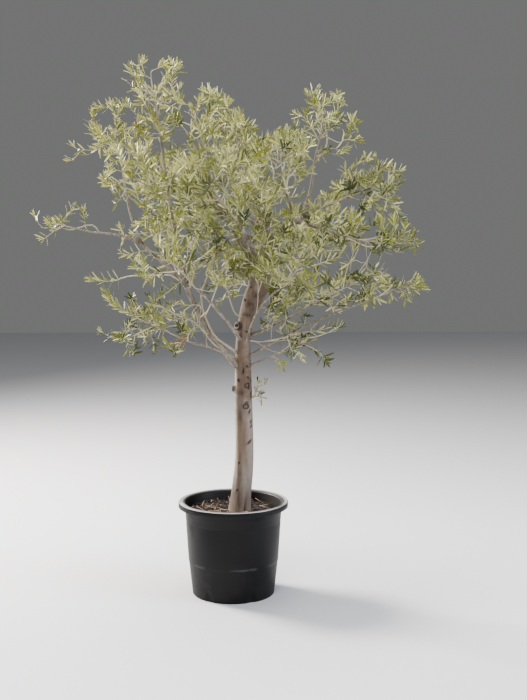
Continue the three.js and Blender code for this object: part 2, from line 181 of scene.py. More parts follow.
def feed(tree, socket, value):
    if isinstance(value, bpy.types.NodeSocket):
        tree.links.new(value, socket)
    elif isinstance(value, tuple):
        socket.default_value = (*value, 1)
    else:
        socket.default_value = value


def ramp(tree, value, *stops):
    made = tree.nodes.new("ShaderNodeValToRGB")
    elements = made.color_ramp.elements
    while len(elements) < len(stops):
        elements.new(0.5)
    for element, (place, colour) in zip(elements, stops):
        element.position = place
        element.color = (*colour, 1)
    tree.links.new(value, made.inputs["Fac"])
    return made.outputs["Color"]


def mixColours(tree, share, first, second):
    made = tree.nodes.new("ShaderNodeMix")
    made.data_type = "RGBA"
    for place, value in ((0, share), (6, first), (7, second)):
        feed(tree, made.inputs[place], value)
    return made.outputs[2]


def maths(tree, operation, *values, clamp=False):
    made = tree.nodes.new("ShaderNodeMath")
    made.operation = operation
    made.use_clamp = clamp
    for socket, value in zip(made.inputs, values):
        feed(tree, socket, value)
    return made.outputs[0]


def product(tree, *values):
    result = values[0]
    for value in values[1:]:
        result = maths(tree, "MULTIPLY", result, value)
    return result


def awayFrom(tree, value, middle):
    return maths(tree, "ABSOLUTE", maths(tree, "SUBTRACT", value, middle))


def spanned(tree, value, low, high, toLow=0.0, toHigh=1.0):
    made = tree.nodes.new("ShaderNodeMapRange")
    values = {"Value": value, "From Min": low, "From Max": high, "To Min": toLow, "To Max": toHigh}
    for name, number in values.items():
        feed(tree, made.inputs[name], number)
    return made.outputs["Result"]


# How far several values are inside their ranges at once.
def inRanges(tree, *pairs):
    return product(tree, *(spanned(tree, value, *span) for value, span in pairs))


def objectPlace(tree):
    return tree.nodes.new("ShaderNodeTexCoord").outputs["Object"]


def axisOf(tree, vector, axis):
    made = tree.nodes.new("ShaderNodeSeparateXYZ")
    tree.links.new(vector, made.inputs[0])
    return made.outputs[axis]


def addBump(tree, shader, height, strength, distance):
    bump = node(tree, "ShaderNodeBump", Strength=strength, Distance=distance)
    tree.links.new(height, bump.inputs["Height"])
    tree.links.new(bump.outputs["Normal"], shader.inputs["Normal"])


def noiseAt(tree, vector, **values):
    texture = node(tree, "ShaderNodeTexNoise", **values)
    tree.links.new(vector, texture.inputs["Vector"])
    return texture.outputs["Fac"]


def scaled(tree, vector, scale):
    mapping = node(tree, "ShaderNodeMapping", Scale=scale)
    tree.links.new(vector, mapping.inputs["Vector"])
    return mapping.outputs["Vector"]


def patternGroup(name, inputs, outputs, build):
    group = bpy.data.node_groups.new(name, "ShaderNodeTree")
    for label, kind, value in inputs:
        socket = group.interface.new_socket(name=label, in_out="INPUT", socket_type=kind)
        if value is not None:
            socket.default_value = value
    for label in outputs:
        group.interface.new_socket(name=label, in_out="OUTPUT", socket_type="NodeSocketFloat")
    enter = group.nodes.new("NodeGroupInput")
    leave = group.nodes.new("NodeGroupOutput")
    build(group, enter.outputs, leave.inputs)
    return group


def useGroup(tree, group, vector, **values):
    made = tree.nodes.new("ShaderNodeGroup")
    made.node_tree = group
    tree.links.new(vector, made.inputs["Vector"])
    for name, value in values.items():
        made.inputs[name].default_value = value
    return made.outputs


def patchesAt(tree, place, scale, cover):
    return useGroup(tree, patches, place, Scale=scale, Cover=cover)["Mask"]


# Long grain for bark: a mask of paler and darker streaks, and a height for relief.
def buildGrain(group, enter, leave):
    stretch = node(group, "ShaderNodeVectorMath", operation="MULTIPLY")
    group.links.new(enter["Vector"], stretch.inputs[0])
    group.links.new(enter["Stretch"], stretch.inputs[1])
    broad = node(group, "ShaderNodeTexNoise", Detail=5.0, Roughness=0.62)
    fine = node(group, "ShaderNodeTexNoise", Detail=4.0, Roughness=0.7)
    for texture, finer in ((broad, 1.0), (fine, 4.6)):
        group.links.new(stretch.outputs[0], texture.inputs["Vector"])
        group.links.new(maths(group, "MULTIPLY", enter["Scale"], finer), texture.inputs["Scale"])
    half = maths(group, "MULTIPLY", broad.outputs["Fac"], 0.5)
    height = maths(group, "MULTIPLY_ADD", fine.outputs["Fac"], 0.5, half)
    group.links.new(broad.outputs["Fac"], leave["Mask"])
    group.links.new(height, leave["Height"])


# Patches of dust, dirt or bloom, with soft broken edges. Cover is how much of the surface they take.
def buildPatches(group, enter, leave):
    broad = node(group, "ShaderNodeTexNoise", Detail=6.0, Roughness=0.68, Distortion=0.4)
    group.links.new(enter["Vector"], broad.inputs["Vector"])
    group.links.new(enter["Scale"], broad.inputs["Scale"])
    least = maths(group, "MULTIPLY_ADD", enter["Cover"], -0.5, 0.78)
    above = maths(group, "SUBTRACT", broad.outputs["Fac"], least)
    group.links.new(maths(group, "MULTIPLY", above, 7.0, clamp=True), leave["Mask"])


grain = patternGroup(
    "barkGrain",
    [
        ("Vector", "NodeSocketVector", None),
        ("Scale", "NodeSocketFloat", 40.0),
        ("Stretch", "NodeSocketVector", (1, 1, 0.25)),
    ],
    ["Mask", "Height"],
    buildGrain,
)
patches = patternGroup(
    "softPatches",
    [
        ("Vector", "NodeSocketVector", None),
        ("Scale", "NodeSocketFloat", 12.0),
        ("Cover", "NodeSocketFloat", 0.5),
    ],
    ["Mask"],
    buildPatches,
)


# The pot: black moulded plastic, a little dusty, scuffed along its ledge, pale on its rim with dust and a
# painted sheen of reflected sky, and given painted light inside.
pot = {
    "height": 395,
    "rimRadius": 231,
    "rimWidth": 25,
    "rimDepth": 22,
    "rimThickness": 6,
    "rimRound": 4,
    "rimCorner": 1.3,
    "rimFall": 0.3,  # how much lower its inner half is
    "groove": (10, 1.5, 3.5, 1.6),  # in its top: how far in, its slope, its width and its depth
    "topRadius": 204,
    "bandDepth": 56,
    "bandStep": 1.8,
    "bandFade": (14, 0.1),
    "stepHeight": 143,
    "stepRadius": 189.5,
    "stepWidth": 1.5,
    "footRadius": 173,
    "footFlat": 30,
    "footRound": 3,
    "footRows": range(4, 61, 4),  # heights, close enough for the pockets
    "wall": 4,
    "floor": 5,
    "turns": 180,
    "edge": 0.9,  # how far its edges are rounded
    "pockets": 6,  # drainage pockets, pressed into the foot
    "pocketTurn": 85,  # degrees of one of them to the right of the front
    "pocketSize": (30, 50, 3.6),  # width, height, depth
    "pocketEdge": (1.2, 0.5, 12),  # where it ends and its soft side, in half widths, and its soft top
    "pocketReach": 20,  # how far in the underside follows it
    "plastic": (0.0052, 0.0052, 0.0062),
    "dust": (0.070, 0.062, 0.056),
    # the inner wall above the soil: a little dust, with painted light where light falls on it
    "insideDustAndLight": (0.034, 0.031, 0.030),
    "scuff": (0.070, 0.075, 0.082),
    # pale dust on the rim's top, with a painted sheen of reflected sky
    "rimDustAndSheen": (0.56, 0.55, 0.57),
    "dustyTurn": -52,  # where the foot is dustiest, in degrees from the front
    "scuffs": [(14, 20), (66, 18), (-48, 10), (150, 30), (-120, 22)],  # where and how wide
    "leastScuff": 0.04,
}
# Where its finish changes: from, to, and how much there is of it at both.
potRanges = {
    "scuffHeight": (0.0025, 0.0075, 1.0, 0.0),
    "scuffStreaks": (0.44, 0.6),
    "lowDustHeight": (0.175, 0.13, 0.0, 0.4),
    "lowDustAside": (0.05, 0.11, 1.0, 0.25),
    "wallDustStreaks": (0.5, 0.8, 0.0, 0.16),
    # the rim's top: upward faces, outer half, in patches: dust and a painted sheen of reflected sky
    "dustSheenSlope": (0.6, 0.93),
    "dustSheenHeight": (0.3915, 0.3930),
    "dustSheenPatches": (0.0, 1.0, 0.7, 0.95),
    "dustSheenOutward": (0.2125, 0.2165, 0.22, 1.0),
    # painted light on the inner wall, most on its right side, with a little dust
    "insideOutward": (0.2005, 0.2025, 1.0, 0.0),
    "insideHeight": (0.34, 0.345),
    "insideAside": (-0.1, 0.19, 0.25, 1.0),
    "rough": (0.3, 0.7, 0.42, 0.56),
}


def wallAt(z):
    underRim = pot["height"] - pot["rimDepth"]
    slope = (pot["topRadius"] - pot["stepRadius"]) / (underRim - pot["stepHeight"])
    return pot["stepRadius"] + slope * (z - pot["stepHeight"])


def innerWallAt(z):
    inset = pot["wall"] + pot["stepWidth"]
    if z > pot["stepHeight"]:
        return wallAt(z) - inset
    slope = (pot["stepRadius"] - pot["stepWidth"] - pot["footRadius"]) / pot["stepHeight"]
    return pot["stepRadius"] - inset - slope * (pot["stepHeight"] - z)


def turnedMesh(outline, turns):
    bm = bmesh.new()
    verts = [bm.verts.new((radius * mm, 0, z * mm)) for radius, z in outline]
    edges = [bm.edges.new(pair) for pair in zip(verts, verts[1:])]
    bmesh.ops.spin(
        bm,
        geom=verts + edges,
        cent=(0, 0, 0),
        axis=(0, 0, 1),
        angle=math.tau,
        steps=turns,
        use_merge=True,
    )
    bmesh.ops.remove_doubles(bm, verts=bm.verts[:], dist=1e-6)
    bmesh.ops.recalc_face_normals(bm, faces=bm.faces[:])
    return bm


# The foot's wall stands further in where a pocket is.
def pressPockets(bm):
    wide, high, deep = pot["pocketSize"]
    end, softSide, softTop = pot["pocketEdge"]
    share = 360 / pot["pockets"]
    for vert in bm.verts:
        radius = math.hypot(vert.co.x, vert.co.y) / mm
        if radius < pot["footRadius"] - pot["pocketReach"] or vert.co.z > high * mm:
            continue
        turn = math.degrees(math.atan2(vert.co.x, -vert.co.y)) - pot["pocketTurn"]
        aside = abs((turn + share / 2) % share - share / 2) * math.tau / 360 * radius / (wide / 2)
        if aside > end:
            continue
        arch = high * math.sqrt(max(0, 1 - (aside / end) ** 2))
        edge = min(1, (end - aside) / softSide) * min(1, max(0, (arch - vert.co.z / mm) / softTop))
        inside = edge * edge * (3 - 2 * edge)
        vert.co.x *= 1 - deep * inside / radius
        vert.co.y *= 1 - deep * inside / radius


# Its section: from the middle of the underside up the wall, over the rim and down inside.
def potOutline():
    top, rim, foot = pot["height"], pot["rimRadius"], pot["footRadius"]
    stepHeight, bandStep = pot["stepHeight"], pot["bandStep"]
    underRim = top - pot["rimDepth"]
    shoulder = top - pot["rimThickness"]
    bandFoot = underRim - pot["bandDepth"]
    fadeDepth, fadeStep = pot["bandFade"]
    lip = rim - pot["wall"]
    ledge = pot["stepRadius"] - pot["stepWidth"]
    grooveIn, grooveSlope, grooveWidth, grooveDepth = pot["groove"]
    grooveFoot = rim - grooveIn - grooveSlope
    outline = [(0, 0), (foot - pot["footFlat"], 0), (foot - pot["footRound"], 0)]
    outline += [(foot + (ledge - foot) * z / stepHeight, z) for z in pot["footRows"]]
    outline += [
        (ledge, stepHeight - pot["stepWidth"]),
        (pot["stepRadius"], stepHeight),
        (wallAt(200), 200),
        (wallAt(bandFoot - fadeDepth) - fadeStep, bandFoot - fadeDepth),
        (wallAt(bandFoot) - bandStep, bandFoot),
        (wallAt(bandFoot), bandFoot + bandStep),
        (wallAt(shoulder), shoulder),
        (lip, shoulder),
        (lip, underRim),
        (rim, underRim),
        (rim, top - pot["rimRound"]),
        (rim - pot["rimCorner"], top - pot["rimCorner"]),
        (rim - pot["rimRound"], top),
        (rim - grooveIn, top),
        (grooveFoot, top - grooveDepth),
        (grooveFoot - grooveWidth, top - grooveDepth),
        (grooveFoot - grooveWidth - grooveSlope, top - pot["rimFall"]),
        (rim - pot["rimWidth"] + 1, top - pot["rimFall"]),
    ]
    outline += [(innerWallAt(z), z) for z in (shoulder, 300, stepHeight, 60, 30, pot["floor"])]
    return outline + [(0, pot["floor"])]


def roundEdges(bm):
    sharp = [
        edge
        for edge in bm.edges
        if len(edge.link_faces) == 2 and edge.calc_face_angle(0) > math.radians(30)
    ]
    bmesh.ops.bevel(
        bm,
        geom=sharp,
        offset=pot["edge"] * mm,
        affect="EDGES",
        segments=2,
        profile=0.5,
        material=-1,
        clamp_overlap=True,
    )


# A map rolled round the wall: turns about the axis, and height.
def mapWall(bm):
    layer = bm.loops.layers.uv.new("wall")
    for face in bm.faces:
        middle = face.calc_center_median()
        around = math.atan2(middle.y, middle.x) / math.tau
        for loop in face.loops:
            x, y, z = loop.vert.co
            turn = math.atan2(y, x) / math.tau
            loop[layer].uv = (turn + round(around - turn), z)


def makePot():
    bm = turnedMesh(potOutline(), pot["turns"])
    pressPockets(bm)
    roundEdges(bm)
    mapWall(bm)
    piece = pieceFrom(bm, "potShell", [potMaterial()], smooth=True)
    piece.data.set_sharp_from_angle(angle=math.radians(40))
    rideOn(piece, "pot", "pot")


# A turn from the front, in degrees, as the wall's map has it.
def wallTurn(degrees):
    return degrees / 360 - 0.25


def potMaterial():
    material, tree, shader = newMaterial("potPlastic", pot["plastic"], 0.46, Specular_IOR_Level=0.32)
    ranges = potRanges
    place = objectPlace(tree)
    height = axisOf(tree, place, "Z")
    wall = node(tree, "ShaderNodeUVMap", uv_map="wall").outputs["UV"]
    turn = axisOf(tree, wall, "X")
    streaks = noiseAt(tree, scaled(tree, wall, (30, 850, 1)), Scale=1.0, Detail=4.0, Roughness=0.6)
    dusty = patchesAt(tree, place, 8.0, 0.5)
    specks = patchesAt(tree, place, 95.0, 0.32)
    # the ledge is scuffed in a few places
    spots = pot["leastScuff"]
    for degrees, half in pot["scuffs"]:
        off = awayFrom(tree, turn, wallTurn(degrees))
        spots = maths(tree, "MAXIMUM", spots, spanned(tree, off, half / 360, half / 500))
    fromLedge = awayFrom(tree, height, (pot["stepHeight"] + 2.5) * mm)
    scuffed = inRanges(tree, (fromLedge, ranges["scuffHeight"]), (streaks, ranges["scuffStreaks"]))
    scuffed = product(tree, scuffed, spots)
    # dust on the wall, most of it low at one side
    aside = awayFrom(tree, turn, wallTurn(pot["dustyTurn"]))
    lowDust = inRanges(tree, (height, ranges["lowDustHeight"]), (aside, ranges["lowDustAside"]))
    wallDust = product(tree, spanned(tree, streaks, *ranges["wallDustStreaks"]), dusty)
    wallDust = maths(tree, "ADD", wallDust, product(tree, specks, 0.04))
    dust = maths(tree, "ADD", product(tree, lowDust, dusty), wallDust)
    # the flat top of the rim is pale with dust and a painted sheen of reflected sky, most on its outer
    # half, and the inside wall has painted light, most on the right, with a little dust
    outward = node(tree, "ShaderNodeVectorMath", operation="LENGTH")
    tree.links.new(scaled(tree, place, (1, 1, 0)), outward.inputs[0])
    outward = outward.outputs["Value"]
    normal = node(tree, "ShaderNodeNewGeometry").outputs["Normal"]
    # painted sheen of reflected sky on the rim's top, with dust patches
    onTop = inRanges(
        tree,
        (axisOf(tree, normal, "Z"), ranges["dustSheenSlope"]),
        (height, ranges["dustSheenHeight"]),
        (dusty, ranges["dustSheenPatches"]),
        (outward, ranges["dustSheenOutward"]),
    )
    # painted light on the inner wall above the soil, strongest on the right, with a little dust
    inside = inRanges(
        tree,
        (outward, ranges["insideOutward"]),
        (height, ranges["insideHeight"]),
        (axisOf(tree, place, "X"), ranges["insideAside"]),
    )
    colour = pot["plastic"]
    for share, paint in ((dust, "dust"), (inside, "insideDustAndLight"), (scuffed, "scuff"), (onTop, "rimDustAndSheen")):
        colour = mixColours(tree, share, colour, pot[paint])
    tree.links.new(colour, shader.inputs["Base Color"])
    rough = maths(tree, "ADD", spanned(tree, streaks, *ranges["rough"]), product(tree, dusty, 0.12))
    tree.links.new(rough, shader.inputs["Roughness"])
    pebbled = product(tree, noiseAt(tree, place, Scale=1400.0, Detail=2.0), 0.4)
    addBump(tree, shader, maths(tree, "MULTIPLY_ADD", streaks, 0.5, pebbled), 0.25, 0.0004)
    return material


# The soil, with crumbs, dry straw and strips of bark on it.
soil = {
    "level": 350,
    "mound": 9,
    "flatShare": 0.42,
    "rings": 46,
    "turns": 168,
    "fromWall": 0.3,
    "fromFloor": 0.4,
    "footRows": (12, 24, 36, 48, 60),  # heights, close enough for the pockets
    "lumps": (26, 6.5),  # how fine and how high
    "grit": (120, 1.3),
    "settled": 1,
    "fade": 14,  # how quickly the lumps end at the wall
    "dark": (0.014, 0.0095, 0.0095),
    "brown": (0.034, 0.022, 0.022),
    "pale": (0.095, 0.070, 0.068),
    "crumbs": 1500,
    "crumbSize": (1.1, 4.4),
    "straws": 170,
    "chips": 26,
    "standing": 10,  # short strips that stand up against the front wall
}


def soilHeight(x, y):
    out = math.hypot(x, y) / (innerWallAt(soil["level"]) * mm)
    outward = max(out - soil["flatShare"], 0) / (1 - soil["flatShare"])
    rise = soil["mound"] * math.sin(min(outward, 1) * math.pi)
    (lumpScale, lumpHeight), (gritScale, gritHeight) = soil["lumps"], soil["grit"]
    lumps = noise.fractal(Vector((x, y, 0.3)) * lumpScale, 0.9, 2.1, 4) * lumpHeight
    grit = noise.noise(Vector((x, y, 1.7)) * gritScale) * gritHeight
    fade = max(0, min(1, (1 - out) * soil["fade"]))
    return (soil["level"] + rise + (lumps + grit) * fade - soil["settled"]) * mm


def makeSoil():
    level, rings, apart = soil["level"], soil["rings"], soil["fromWall"]
    rim = innerWallAt(level) - apart
    bottom = pot["floor"] + soil["fromFloor"]
    heights = (bottom, *soil["footRows"], pot["stepHeight"])
    outline = [(0, bottom)] + [(innerWallAt(z) - apart, z) for z in heights]
    outline += [(rim * (1 - k / rings), level) for k in range(rings + 1)]
    bm = turnedMesh(outline, soil["turns"])
    pressPockets(bm)
    for vert in bm.verts:
        if vert.co.z > (level - 1) * mm:
            vert.co.z = soilHeight(vert.co.x, vert.co.y)
    rideOn(pieceFrom(bm, "soilBed", [soilMaterial()], smooth=True), "soil", "soil")


def soilMaterial():
    material, tree, shader = newMaterial("pottingSoil", soil["dark"], 0.95)
    place = objectPlace(tree)
    lumps = noiseAt(tree, place, Scale=85.0, Detail=8.0, Roughness=0.72)
    colour = ramp(tree, lumps, (0.38, soil["dark"]), (0.58, soil["brown"]), (0.78, soil["pale"]))
    damp = product(tree, patchesAt(tree, place, 16.0, 0.6), 0.45)
    tree.links.new(mixColours(tree, damp, colour, soil["dark"]), shader.inputs["Base Color"])
    addBump(tree, shader, lumps, 0.9, 0.004)
    return material


# Many small things of one kind are joined from arrays: a closed shape is repeated at places, each
# with the three axes that turn and size it.
def repeated(shape, faces, places, axes):
    points = np.einsum("vk,nkc->nvc", np.asarray(shape, float), axes) + places[:, None, :]
    step = len(shape)
    allFaces = [tuple(n * step + i for i in face) for n in range(len(places)) for face in faces]
    return points.reshape(-1, 3), allFaces


def joinedPiece(name, points, faces, slots, materials, smooth=False):
    used, slots = np.unique(np.asarray(slots), return_inverse=True)
    mesh = bpy.data.meshes.new(name)
    mesh.from_pydata(points, [], faces)
    piece = pieceOf(mesh, name, [materials[k] for k in used], smooth)
    mesh.polygons.foreach_set("material_index", slots.astype(np.int32))
    mesh.update()
    return piece


def stripShape(segments, bow):
    shape, faces = [], [(3, 2, 1, 0)]
    for k in range(segments + 1):
        along = k / segments - 0.5
        narrow = 0.5 if k in (0, segments) else 1
        lift = bow * (1 - 4 * along * along)
        for across, up in ((-1, -1), (1, -1), (1, 1), (-1, 1)):
            shape.append((along, across * 0.5 * narrow, lift + up * 0.5))
    for k in range(segments):
        for i in range(4):
            j = (i + 1) % 4
            faces.append((4 * k + i, 4 * k + j, 4 * k + 4 + j, 4 * k + 4 + i))
    last = 4 * segments
    faces.append((last, last + 1, last + 2, last + 3))
    return shape, faces


litterColours = {
    "paleStraw": (0.56, 0.43, 0.34),
    "tanStraw": (0.28, 0.195, 0.150),
    "redBark": (0.092, 0.052, 0.045),
    "brownBark": (0.052, 0.034, 0.030),
    "darkCrumb": (0.020, 0.014, 0.013),
    "tanCrumb": (0.088, 0.066, 0.061),
}


def litterMaterial(name, colour):
    material, tree, shader = newMaterial(name, colour, 0.85)
    streaks = useGroup(tree, grain, objectPlace(tree), Scale=160.0)["Mask"]
    darker = tuple(c * 0.45 for c in colour)
    paler = tuple(min(1, c * 1.5) for c in colour)
    colour = ramp(tree, streaks, (0.32, darker), (0.52, colour), (0.72, paler))
    tree.links.new(colour, shader.inputs["Base Color"])
    return material


# length, width, thickness, lean and roll in radians, and which of the colours it may have
litterKinds = {
    "curl": ((28, 80), (1.0, 1.8), (0.5, 0.9), 0.4, 1.3, (0, 0, 0, 1, 2)),
    "straw": ((12, 40), (1.0, 2.0), (0.6, 1.0), 0.7, 0.9, (0, 1, 3, 2, 3)),
    "chip": ((8, 20), (3, 7), (1.2, 2.4), 0.4, 0.5, (2, 2, 3, 3, 1)),
}
litter = {
    "fromWall": 4,
    "fromTrunk": (22, 50),  # how far aside the trunk's foot is, and how far from it litter lies
    "sparse": 0.45,  # how much of it there is at the right front
    "crumbColours": [4, 4, 4, 5, 3, 2],
    "standingTurn": (-24, 44, 2),  # degrees: from, over how many, and give or take
    "standingSize": ((26, 40), (1.5, 2.6), (0.7, 1.1), 1.2),
}


# Most litter lies on the left, and to the right behind the trunk.
def litterPlace(random, edge=litter["fromWall"]):
    reach = innerWallAt(soil["level"]) - edge
    trunkAside, apart = litter["fromTrunk"]
    while True:
        angle = random.uniform(0, math.tau)
        radius = math.sqrt(random.uniform(0.06, 1)) * reach
        x, y = radius * math.sin(angle), -radius * math.cos(angle)
        wanted = 1.0 if x < -20 or y > 40 else litter["sparse"]
        if math.hypot(x - trunkAside, y) > apart and random.uniform() < wanted:
            return x * mm, y * mm


def litterPart(random, kind):
    (low, high), wide, thick, lean, roll, colours = litterKinds[kind]
    edge = (innerWallAt(soil["level"]) - litter["fromWall"]) * mm
    reach = edge + 1
    while reach > edge:
        length = random.uniform(low, high) * mm
        spot = Vector(litterPlace(random))
        turn = random.uniform(0, math.tau)
        half = Vector((math.cos(turn), math.sin(turn))) * length * 0.6
        reach = max((spot + half).length, (spot - half).length)
    tilt = random.uniform(-lean, lean)
    along = Vector((math.cos(turn) * math.cos(tilt), math.sin(turn) * math.cos(tilt), math.sin(tilt)))
    return laidStrip(random, spot, along, length, wide, thick, roll), random.choice(colours)


def laidStrip(random, spot, along, length, wide, thick, roll):
    across = Vector((0, 0, 1)).cross(along).normalized()
    across.rotate(Matrix.Rotation(random.uniform(-roll, roll), 3, along))
    up = along.cross(across)
    width, thickness = random.uniform(*wide) * mm, random.uniform(*thick) * mm
    z = soilHeight(*spot) + abs(along.z) * length * 0.36 + thickness * 0.5
    return (*spot, z), [list(along * length), list(across * width), list(up * thickness)]


def standingStrip(random, k):
    start, span, spread = litter["standingTurn"]
    (low, high), wide, thick, roll = litter["standingSize"]
    angle = math.radians(start + span * k / soil["standing"] + random.uniform(-spread, spread))
    out = (innerWallAt(soil["level"]) - random.uniform(12, 30)) * mm
    spot = (out * math.sin(angle), -out * math.cos(angle))
    along = Vector((random.uniform(-0.35, 0.35), -0.25, 1)).normalized()
    return laidStrip(random, spot, along, random.uniform(low, high) * mm, wide, thick, roll)


# Crumbs are squashed eight-sided lumps.
def crumbParts(random):
    lump = [(1, 0, 0), (-1, 0, 0), (0, 1, 0), (0, -1, 0), (0, 0, 1), (0, 0, -1)]
    faces = [(0, 2, 4), (2, 1, 4), (1, 3, 4), (3, 0, 4), (2, 0, 5), (1, 2, 5), (3, 1, 5), (0, 3, 5)]
    places, axes = [], []
    for _ in range(soil["crumbs"]):
        x, y = litterPlace(random, litter["fromWall"] + 1)
        size = random.uniform(*soil["crumbSize"]) * mm
        turned = Matrix.Rotation(random.uniform(0, math.tau), 3, Vector(random.normal(size=3)).normalized())
        stretched = Matrix.Diagonal(Vector(random.uniform(0.55, 1.0, 3)) * size)
        places.append((x, y, soilHeight(x, y) + size * 0.25))
        axes.append([list(row) for row in stretched @ turned])
    return lump, faces, places, axes, random.choice(litter["crumbColours"], len(places))


def makeLitter():
    random = np.random.RandomState(11)
    materials = [litterMaterial(name, colour) for name, colour in litterColours.items()]
    kinds = [
        ("curl", soil["straws"] // 3, stripShape(6, 9)),
        ("straw", 2 * soil["straws"] // 3, stripShape(4, 2)),
        ("chip", soil["chips"], stripShape(2, 0.4)),
        ("standing", soil["standing"], stripShape(5, 4)),
    ]
    parts = []
    for kind, count, (shape, faces) in kinds:
        if kind == "standing":
            laid = [(standingStrip(random, k), 0) for k in range(count)]
        else:
            laid = [litterPart(random, kind) for _ in range(count)]
        strips, colours = zip(*laid)
        places, axes = zip(*strips)
        parts.append((shape, faces, places, axes, colours))
    parts.append(crumbParts(random))
    allPoints, allFaces, slots = [], [], []
    start = 0
    for shape, faces, places, axes, colours in parts:
        points, made = repeated(shape, faces, np.array(places), np.array(axes))
        allPoints.append(points)
        allFaces += [tuple(i + start for i in face) for face in made]
        slots += [colour for colour in colours for _ in faces]
        start += len(points)
    piece = joinedPiece("strawAndBark", np.concatenate(allPoints).tolist(), allFaces, slots, materials)
    rideOn(piece, "soil")


# The tree's growth, with the same named sizes as its solids, in millimetres.
trunk = {
    "foot": 335,
    "top": 1430,
    "lean": [
        (22, 0, 45),
        (32, -4, 40),
        (42, -8, 38.5),
        (47, -10, 38),
        (47, -8, 38),
        (44, -4, 37),
        (44, 0, 35),
        (43, 4, 33),
        (43, 6, 31),
        (54, 4, 31),
        (78, 0, 34),
        (108, -4, 30),
        (140, -8, 23),
    ],
    "flare": 0.2,
    "flareHeight": 70,
    "lobes": 3,
    "lobeTurn": 0.9,
    "rings": 540,
    "sides": 156,
    "firstRing": 0.0125,  # of its length, a little below the soil
    "topTaper": (0.42, 0.955, 0.045),  # how much, from where on and over what share
    "flutes": (1.1, 0.0052, 0.06),  # how fine round the trunk, how fine along it, and how deep
    "ridges": (4.4, 0.011, 0.022),
    "ripple": (7, 0.06, 0.010),
    "crevice": (0.57, 0.17, 10, 350, 58),  # turn, width in radians, depth, height, half height
    "swelling": (1.75, 26, 1165, 1290, 1.5),  # below the fork: turn, how far out, heights, steepness
}

boughs = [
    ("bough_left", "trunk", 0.555, (-190, -70, 1310), -0.45, (12.5, 9.5)),
    ("bough_arch", "bough_left", 1, (-372, -95, 1478), 0.1, (8.5, 6.5)),
    ("fork_left", "trunk", 0.86, (-40, -70, 1600), 0.5, (17, 12)),
    ("fork_back", "trunk", 0.93, (120, 175, 1560), 0.5, (17, 12)),
    ("fork_right", "trunk", 0.97, (290, 10, 1585), 0.5, (17, 12)),
    ("fork_front", "trunk", 0.88, (60, -190, 1500), 0.45, (14, 10)),
]

# Masses of foliage: the limb that bears each one, how many twigs the solids give it, the space it
# keeps to, and how many fine shoots it has here, what share of a shoot may be in leaf and how much
# the shoots turn up at their ends.
massFields = ("name", "parent", "at", "hug", "radii", "twigs", "centre", "reach", "shoots", "leafy", "rise")
massRows = [
    ("top_left", "bough_left", 0.97, 0.35, (8, 4.5), 7, (-318, 0, 2070), (172, 155, 185), 50, 0.8, 0.8),
    ("upper_left", "bough_arch", 0.96, 0.3, (6, 4), 7, (-480, 30, 1895), (200, 170, 165), 56, 0.75, 0.6),
    ("long_left", "bough_arch", 1, 0.5, (5.5, 3.5), 5, (-690, -80, 1552), (175, 90, 85), 7, 0.45, 0.3),
    ("left", "fork_left", 0.9, 0.2, (9, 4.5), 7, (-355, -265, 1715), (210, 190, 175), 92, 0.75, 0.6),
    ("left_back", "bough_left", 0.8, 0.25, (7.5, 4.5), 7, (-310, 210, 1490), (205, 190, 160), 56, 0.6, 0.5),
    ("left_low", "trunk", 0.575, 0.35, (8, 4.5), 8, (-320, -110, 1150), (270, 200, 155), 66, 0.65, 0.15),
    ("upper_front", "fork_left", 1, 0.5, (9.5, 5), 7, (-140, -180, 1940), (180, 175, 170), 84, 0.8, 0.7),
    ("top", "trunk", 1, 0.6, (13, 5.5), 6, (20, 120, 1915), (180, 180, 175), 74, 0.8, 0.7),
    ("front", "fork_front", 1, 0.4, (8.5, 5), 7, (-70, -450, 1680), (210, 185, 190), 94, 0.8, 0.6),
    ("top_right", "fork_right", 0.97, 0.3, (9, 4.5), 7, (370, 40, 1945), (160, 155, 175), 46, 0.75, 0.7),
    ("inner_right", "fork_right", 0.75, 0.3, (8, 4.5), 6, (195, -160, 1790), (175, 165, 160), 74, 0.8, 0.6),
    ("right", "fork_right", 1, 0.2, (8.5, 4.5), 6, (560, 40, 1700), (190, 175, 145), 70, 0.75, 0.6),
    ("right_mid", "fork_right", 0.85, 0.1, (8, 4.5), 7, (585, -140, 1470), (190, 170, 130), 70, 0.75, 0.45),
    ("right_low", "trunk", 0.685, -0.15, (9, 4.5), 7, (480, 60, 1290), (210, 185, 125), 60, 0.7, 0.4),
    ("right_tip", "trunk", 0.6, 0.12, (6.5, 4), 4, (655, -170, 1300), (145, 105, 85), 18, 0.7, 0.3),
    ("under_right", "trunk", 0.57, 0, (6, 4), 6, (280, -70, 1060), (185, 160, 120), 20, 0.5, 0.1),
    ("front_right", "trunk", 0.575, 0.85, (7.5, 4.5), 7, (260, -440, 1430), (225, 180, 175), 76, 0.75, 0.5),
    ("back_top", "fork_back", 1, 0.5, (9.5, 5), 6, (190, 400, 1800), (200, 190, 190), 104, 0.8, 0.7),
    ("back_left", "fork_back", 0.85, 0.3, (8.5, 4.5), 7, (-240, 430, 1720), (210, 190, 180), 100, 0.8, 0.6),
    ("back_right", "fork_back", 0.95, 0.2, (8.5, 4.5), 7, (450, 430, 1560), (210, 195, 170), 98, 0.75, 0.5),
    ("back_low", "trunk", 0.72, 0.1, (8.5, 4.5), 7, (90, 480, 1310), (230, 190, 155), 92, 0.75, 0.4),
    ("front_low", "trunk", 0.66, 0.1, (7.5, 4.5), 7, (-190, -480, 1380), (200, 160, 140), 42, 0.7, 0.4),
    ("shoot", "trunk", 0.46, 0, None, 3, (108, -24, 868), (48, 44, 76), 5, 0.8, 0.6),
]
masses = [dict(zip(massFields, row)) for row in massRows]

